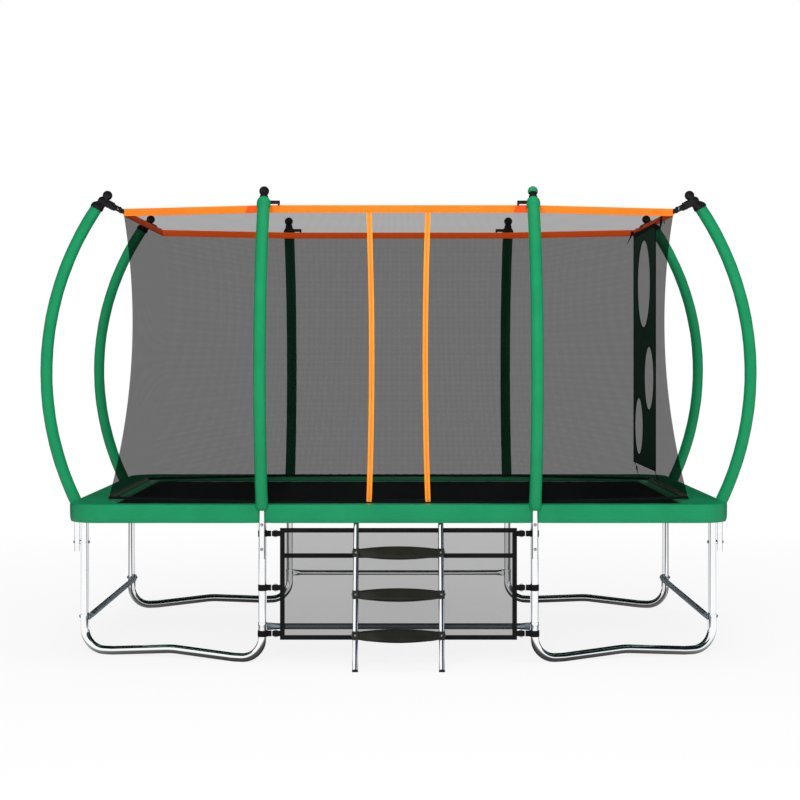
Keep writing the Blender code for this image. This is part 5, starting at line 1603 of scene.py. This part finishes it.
def makeGoal():
    y = -railY
    half, thin, edge = goal["half"], goal["thick"], goal["border"] / 2
    low, high = goal["bottom"], goal["top"]
    cloth = makeGoalCloth(y, low, high)
    trims = []
    for z, share in ((low + edge, 1.0), (high - edge, 1.0), (goal["cross"], 1.1)):
        trims.append(makeStrap([(-half, y, z), (0, y, z), (half, y, z)], (0, 0, 1), edge, thin * share))
    for x in (-half + edge, half - edge):
        trims.append(makeStrap([(x, y, low), (x, y, high)], (1, 0, 0), edge, thin * 1.15))
    border = dress(joinPieces(trims), "goal_border", "hem", "frame")
    straps, rings = makeGoalStraps(y)
    trim = dress(joinPieces(straps), "goal_straps", "hem", "frame")
    dress(joinPieces(rings), "goal_rings", "bolt", "frame")


makeGoal()
print("target and goal net made")

ladder = {
    "half": 0.235, "footReach": 0.288, "slope": 0.36, "radius": 0.0153,
    "footRadius": 0.0165, "cupLength": 0.0095,
    "hookInner": 0.0232, "hookThick": 0.0036, "hookHalf": 0.012, "stepDrop": 0.006,
    "steps": {"low": 0.1955, "middle": 0.408, "high": 0.629},
    "blockHalf": (0.0185, 0.021, 0.026), "endTall": 0.0204, "endDeep": 0.0152, "middleTall": 0.036,
    "middleDeep": 0.056, "columns": 48,
}


def ladderPoint(height, x=0.0):
    return Vector((x, -railY - ladder["footReach"] + ladder["slope"] * height, height))


def makeLadderRail(x, foot, along):
    rail = Vector((x, -railY, railZ))
    middle = ladder["hookInner"] + ladder["hookThick"] / 2
    reach = (rail - foot).dot(along) - middle
    ends = [(foot + along * 0.012, ladder["radius"]), (foot + along * reach, ladder["radius"])]
    tube = drawTube(ends, "X", capped=True)
    angles = [radians(-100 - 230 * k / 24) for k in range(25)]
    hook = [rail + Vector((0, cos(angle), sin(angle))) * middle for angle in angles]
    strap = makeStrap(hook, (1, 0, 0), ladder["hookHalf"], ladder["hookThick"] / 2)
    whole = joinPieces([tube, strap])
    shade(whole)
    return whole


def makeRubberFoot(foot, along):
    big, length = ladder["footRadius"], ladder["cupLength"]
    stations = [(0.0066, 0.0012), (0.0066, big * 0.9), (0.0081, big), (length, big),
                (length + 0.003, big * 0.97), (length + 0.004, ladder["radius"])]
    rubber = drawTube([(foot + along * reach, size) for reach, size in stations], "X", straight=along)
    for vertex in rubber.data.vertices:
        # its sole is pressed flat on the ground
        if vertex.co.z < 0.008:
            vertex.co.z = 0.0008 if vertex.co.z < 0.0068 else vertex.co.z * 0.3
    shade(rubber)
    return rubber


def makeTread(centre):
    # sloping upper face with fine ribs, a crisp nose line, and a lip that curls back under it
    inner = ladder["half"] - ladder["blockHalf"][0] + 0.004
    back = ladder["endDeep"]
    rows = []
    for c in range(ladder["columns"] + 1):
        x = -inner + 2 * inner * c / ladder["columns"]
        swell = 1 - (x / inner) ** 2
        tall = ladder["endTall"] + (ladder["middleTall"] - ladder["endTall"]) * swell
        deep = ladder["endDeep"] + (ladder["middleDeep"] - ladder["endDeep"]) * swell
        lip = 0.74 * smoothStep((swell - 0.3) / 0.7) + 0.02
        nose = (-deep, tall * (lip - 1))
        upper = [(back, tall * 0.92), (back - 0.3 * (deep + back), tall), (-0.45 * deep, tall * 0.72),
                 (-0.86 * deep, tall * (0.15 + 0.5 * (lip - 1))), nose]
        under = [nose, (-0.84 * deep, tall * (lip * 0.35 - 1)), (-0.5 * deep, -tall),
                 (0.2 * back, -tall * 0.96), (back, -tall * 0.75)]
        top = smoothPath([(x, y, z) for y, z in upper], 7)
        low = smoothPath([(x, y, z) for y, z in under], 4)
        for spot in top[5:25:2]:
            spot.z -= 0.0005 * smoothStep(swell * 4)
        rows.append([centre + spot for spot in top + low[1:]])
    tread = meshFromRows("tread", rows, ring=True, capped=True)
    faceOutward(tread, merge=0.00002)
    shade(tread, 30)
    return tread


def makeBlock(centre, side):
    # block round a tube, slanted with it, its front face sunk inside a border
    halfX, halfY, halfZ = ladder["blockHalf"]
    middle = centre + Vector((side * ladder["half"], 0, 0))
    block = added(bpy.ops.mesh.primitive_cube_add, size=1, location=middle)
    settle(block, (2 * halfX, 2 * halfY, 2 * halfZ * 0.86))
    for vertex in block.data.vertices:
        vertex.co.y += ladder["slope"] * (vertex.co.z - centre.z)
    makeActive(block)
    enterEdit("DESELECT")
    bpy.ops.mesh.select_mode(type="FACE")
    leaveEdit()
    for face in block.data.polygons:
        face.select = face.normal.y < -0.5
    bpy.ops.object.mode_set(mode="EDIT")
    bpy.ops.mesh.inset(thickness=0.007)
    bpy.ops.transform.translate(value=(0, 0.0012, 0))
    leaveEdit()
    applyModifier(block, "BEVEL", width=0.0045, segments=3, limit_method="ANGLE", angle_limit=radians(60))
    shade(block)
    return block


def makeStep(name, height):
    # tread and a block round each tube
    centre = ladderPoint(height - ladder["stepDrop"])
    parts = [makeTread(centre - Vector((0, 0, 0.002)))] + [makeBlock(centre, side) for side in (-1, 1)]
    dress(joinPieces(parts), "moulded_step_" + name, "tread", "ladder", "step_" + name)
    halfX, halfY = ladder["blockHalf"][:2]
    bolts = []
    for side in (-1, 1):
        front = Vector((side * ladder["half"], -halfY + 0.0004, 0.002))
        outside = Vector((side * (ladder["half"] + halfX - bolt["sunk"]), 0, 0))
        bolts.append(boltAt(centre + front, (0, -1, ladder["slope"]), 0.6))
        bolts.append(boltAt(centre + outside, (side, 0, 0), 0.8))
    dress(joinPieces(bolts), "step_bolts_" + name, "bolt", "ladder")


def makeLadder():
    along = Vector((0, ladder["slope"], 1)).normalized()
    for label, x in (("left", -ladder["half"]), ("right", ladder["half"])):
        foot = ladderPoint(0, x)
        tube = makeLadderRail(x, foot, along)
        dress(tube, "tube_ladder_" + label, "steel", "ladder", "ladder_rail_" + label)
        dress(makeRubberFoot(foot, along), "rubber_foot_" + label, "rubber", "ladder")
    for name, height in ladder["steps"].items():
        makeStep(name, height)


makeLadder()
print("ladder made")

# in pixels of the photo, and the camera's place in metres
photo = {
    "focal": 1717.06, "width": 800, "centreX": 398.5, "centreY": 356.87,
    "distance": 10.7588, "height": 1.7047,
}


def makeCamera():
    data = bpy.data.cameras.new("camera")
    camera = linked("camera", data)
    data.sensor_width = 36
    data.lens = photo["focal"] / photo["width"] * data.sensor_width
    data.shift_x = (photo["width"] / 2 - photo["centreX"]) / photo["width"]
    data.shift_y = -(photo["width"] / 2 - photo["centreY"]) / photo["width"]
    camera.location = (0, -photo["distance"], photo["height"])
    camera.rotation_euler = (radians(90), 0, 0)
    bpy.context.scene.camera = camera


studio = {
    "ambient": 0.27, "nearShare": 0.86, "glossFloor": 0.17, "reflectedShadeInner": 0.8,
    "floorInner": 2.2, "floorOuter": 7.5,
    # in reflections: rise and fall of the ring of painted shade, and of the wedges of painted shade as a
    # slope from the middle
    "ring": ((1.5, 1.75), (2.15, 2.6)), "wedge": ((0.02, 0.25), (2.2, 3.0)), "wedgeStart": (2.0, 2.6),
}


def makeWorld():
    # white for the camera and in reflections, dim as a light
    world = bpy.data.worlds.new("studio")
    bpy.context.scene.world = world
    world.use_nodes = True
    tree = world.node_tree
    background = tree.nodes["Background"].inputs
    rays = addNode(tree, "ShaderNodeLightPath").outputs
    seen = mathNode(tree, "MAXIMUM", rays["Is Camera Ray"], rays["Is Glossy Ray"])
    seen = mathNode(tree, "MAXIMUM", seen, rays["Is Transmission Ray"])
    background["Color"].default_value = (1, 1, 1, 1)
    wire(tree, mapRange(tree, seen, 0.0, 1.0, studio["ambient"], 1.0, smooth=False), background["Strength"])


def reflectedShadeShare(tree, place):
    # painted shade on the floor as reflections see it: a ring under the foot tubes, a wedge at each side of
    # the rear, and a dimmer floor inside the ring
    wide = addNode(tree, "ShaderNodeVectorMath", operation="MULTIPLY")
    wide.inputs[1].default_value = (1, 1.5, 0)
    wire(tree, place, wide.inputs[0])
    reach = addNode(tree, "ShaderNodeVectorMath", operation="LENGTH")
    wire(tree, wide.outputs[0], reach.inputs[0])
    reach = reach.outputs["Value"]
    apart = addNode(tree, "ShaderNodeSeparateXYZ", Vector=place).outputs
    sideways = mathNode(tree, "ADD", mathNode(tree, "ABSOLUTE", apart["X"]), 0.01)
    slant = mathNode(tree, "DIVIDE", apart["Y"], sideways)
    bands = []
    for source, (rise, fall) in ((reach, studio["ring"]), (slant, studio["wedge"])):
        bands.append(mathNode(tree, "MULTIPLY", mapRange(tree, source, *rise, 0.0, 1.0),
                              mapRange(tree, source, *fall, 1.0, 0.0)))
    wedge = mathNode(tree, "MULTIPLY", bands[1], mapRange(tree, reach, *studio["wedgeStart"], 0.0, 1.0))
    inside = mapRange(tree, reach, studio["ring"][0][0], studio["ring"][1][1], studio["reflectedShadeInner"], 1.0)
    return mathNode(tree, "MAXIMUM", bands[0], wedge), inside


def makeFloor():
    floor = added(bpy.ops.mesh.primitive_plane_add, size=60, location=(0, 0, -0.001))
    floor.name = "floor"
    settle(floor)
    material, tree, shader = newMaterial("pale floor", roughness=0.9, specular=0.0)
    shader["Base Color"].default_value = (0.86, 0.86, 0.86, 1)
    rays = addNode(tree, "ShaderNodeLightPath").outputs
    place = coordinates(tree)
    # near the object the floor keeps its shadow, far away it becomes the white backdrop
    distance = addNode(tree, "ShaderNodeVectorMath", operation="LENGTH")
    wire(tree, place, distance.inputs[0])
    white = mapRange(tree, distance.outputs["Value"], studio["floorInner"], studio["floorOuter"],
                     studio["nearShare"], 1.0)
    straight = mathNode(tree, "MAXIMUM", rays["Is Camera Ray"], rays["Is Transmission Ray"])
    share = mathNode(tree, "MAXIMUM", mathNode(tree, "MULTIPLY", straight, white), rays["Is Glossy Ray"])
    # reflections see the floor with painted shade: dimmer inside the ring, and darker in the ring and the
    # wedges
    dull, inside = reflectedShadeShare(tree, place)
    shown = mathNode(tree, "SUBTRACT", inside, mathNode(tree, "MULTIPLY", dull, 1 - studio["glossFloor"]))
    glow = addNode(tree, "ShaderNodeEmission", Strength=mathNode(tree, "MAXIMUM", shown, straight))
    mix = addNode(tree, "ShaderNodeMixShader")
    plain = tree.nodes["Principled BSDF"].outputs[0]
    for socket, source in zip(mix.inputs, (share, plain, glow.outputs[0])):
        wire(tree, source, socket)
    wire(tree, mix.outputs[0], tree.nodes["Material Output"].inputs["Surface"])
    floor.data.materials.append(material)


# dark cards round the object, seen only in reflections, give the bright tubes their dark edge lines
cards = {
    "distance": 13.0, "high": 7.0,
    # from and to in degrees from the rear, turning to the right, and the lower edge
    "spans": ((5, 80, -0.5), (280, 355, -0.5), (84, 177, 3.0)),
    "ceilings": ((-16, 16, -6, 14), (0.5, 16, -16, -6)),            # left, right, front and rear
    "ceilingHeight": 7.0, "dark": (0.006, 0.007, 0.008), "blue": (0.03, 0.055, 0.095),
}


def hangCard(name, rows, material):
    card = meshFromRows(name, rows, ring=False)
    card.data.materials.append(material)
    card.visible_camera = False
    card.visible_diffuse = False
    card.visible_shadow = False
    card.visible_transmission = False


def cardMaterial(colour):
    material = bpy.data.materials.new(colour + " card")
    material.use_nodes = True
    tree = material.node_tree
    glow = addNode(tree, "ShaderNodeEmission", Color=(*cards[colour], 1))
    wire(tree, glow.outputs[0], tree.nodes["Material Output"].inputs["Surface"])
    return material


def makeCards():
    dark, blue = cardMaterial("dark"), cardMaterial("blue")
    for number, (start, end, low) in enumerate(cards["spans"]):
        angles = [radians(start + (end - start) * k / 6) for k in range(7)]
        rows = [[Vector((cards["distance"] * sin(a), cards["distance"] * cos(a), z)) for a in angles]
                for z in (low, cards["high"])]
        hangCard("dark_card_" + str(number), rows, blue if low > 0 else dark)
    for number, (left, right, front, rear) in enumerate(cards["ceilings"]):
        rows = [[Vector((x, y, cards["ceilingHeight"])) for x in (left, right)] for y in (front, rear)]
        hangCard("dark_ceiling_" + str(number), rows, dark)


# place, the point it looks at, size and power
lamps = {
    "key": ((-0.8, -10.4, 4.8), (0, 0, 1.2), 4.8, 730),
    "fill": ((7.0, -5.0, 3.0), (0, 0, 1.2), 4.0, 90),
    "back": ((-1.0, 6.5, 6.5), (0, 0, 1.0), 6.0, 170),
    "top": ((0.5, -1.5, 8.0), (0, 0, 0.5), 6.0, 260),
}


def makeLamps():
    for name, (spot, aim, size, power) in lamps.items():
        data = bpy.data.lights.new(name, "AREA")
        data.size = size
        data.energy = power
        lamp = linked(name, data)
        lamp.visible_glossy = False
        lamp.location = spot
        lamp.rotation_euler = (Vector(aim) - Vector(spot)).to_track_quat("-Z", "Y").to_euler()


makeCamera()
makeWorld()
makeFloor()
makeCards()
makeLamps()
bpy.context.scene.view_settings.view_transform = "Standard"
discard(boltModel)
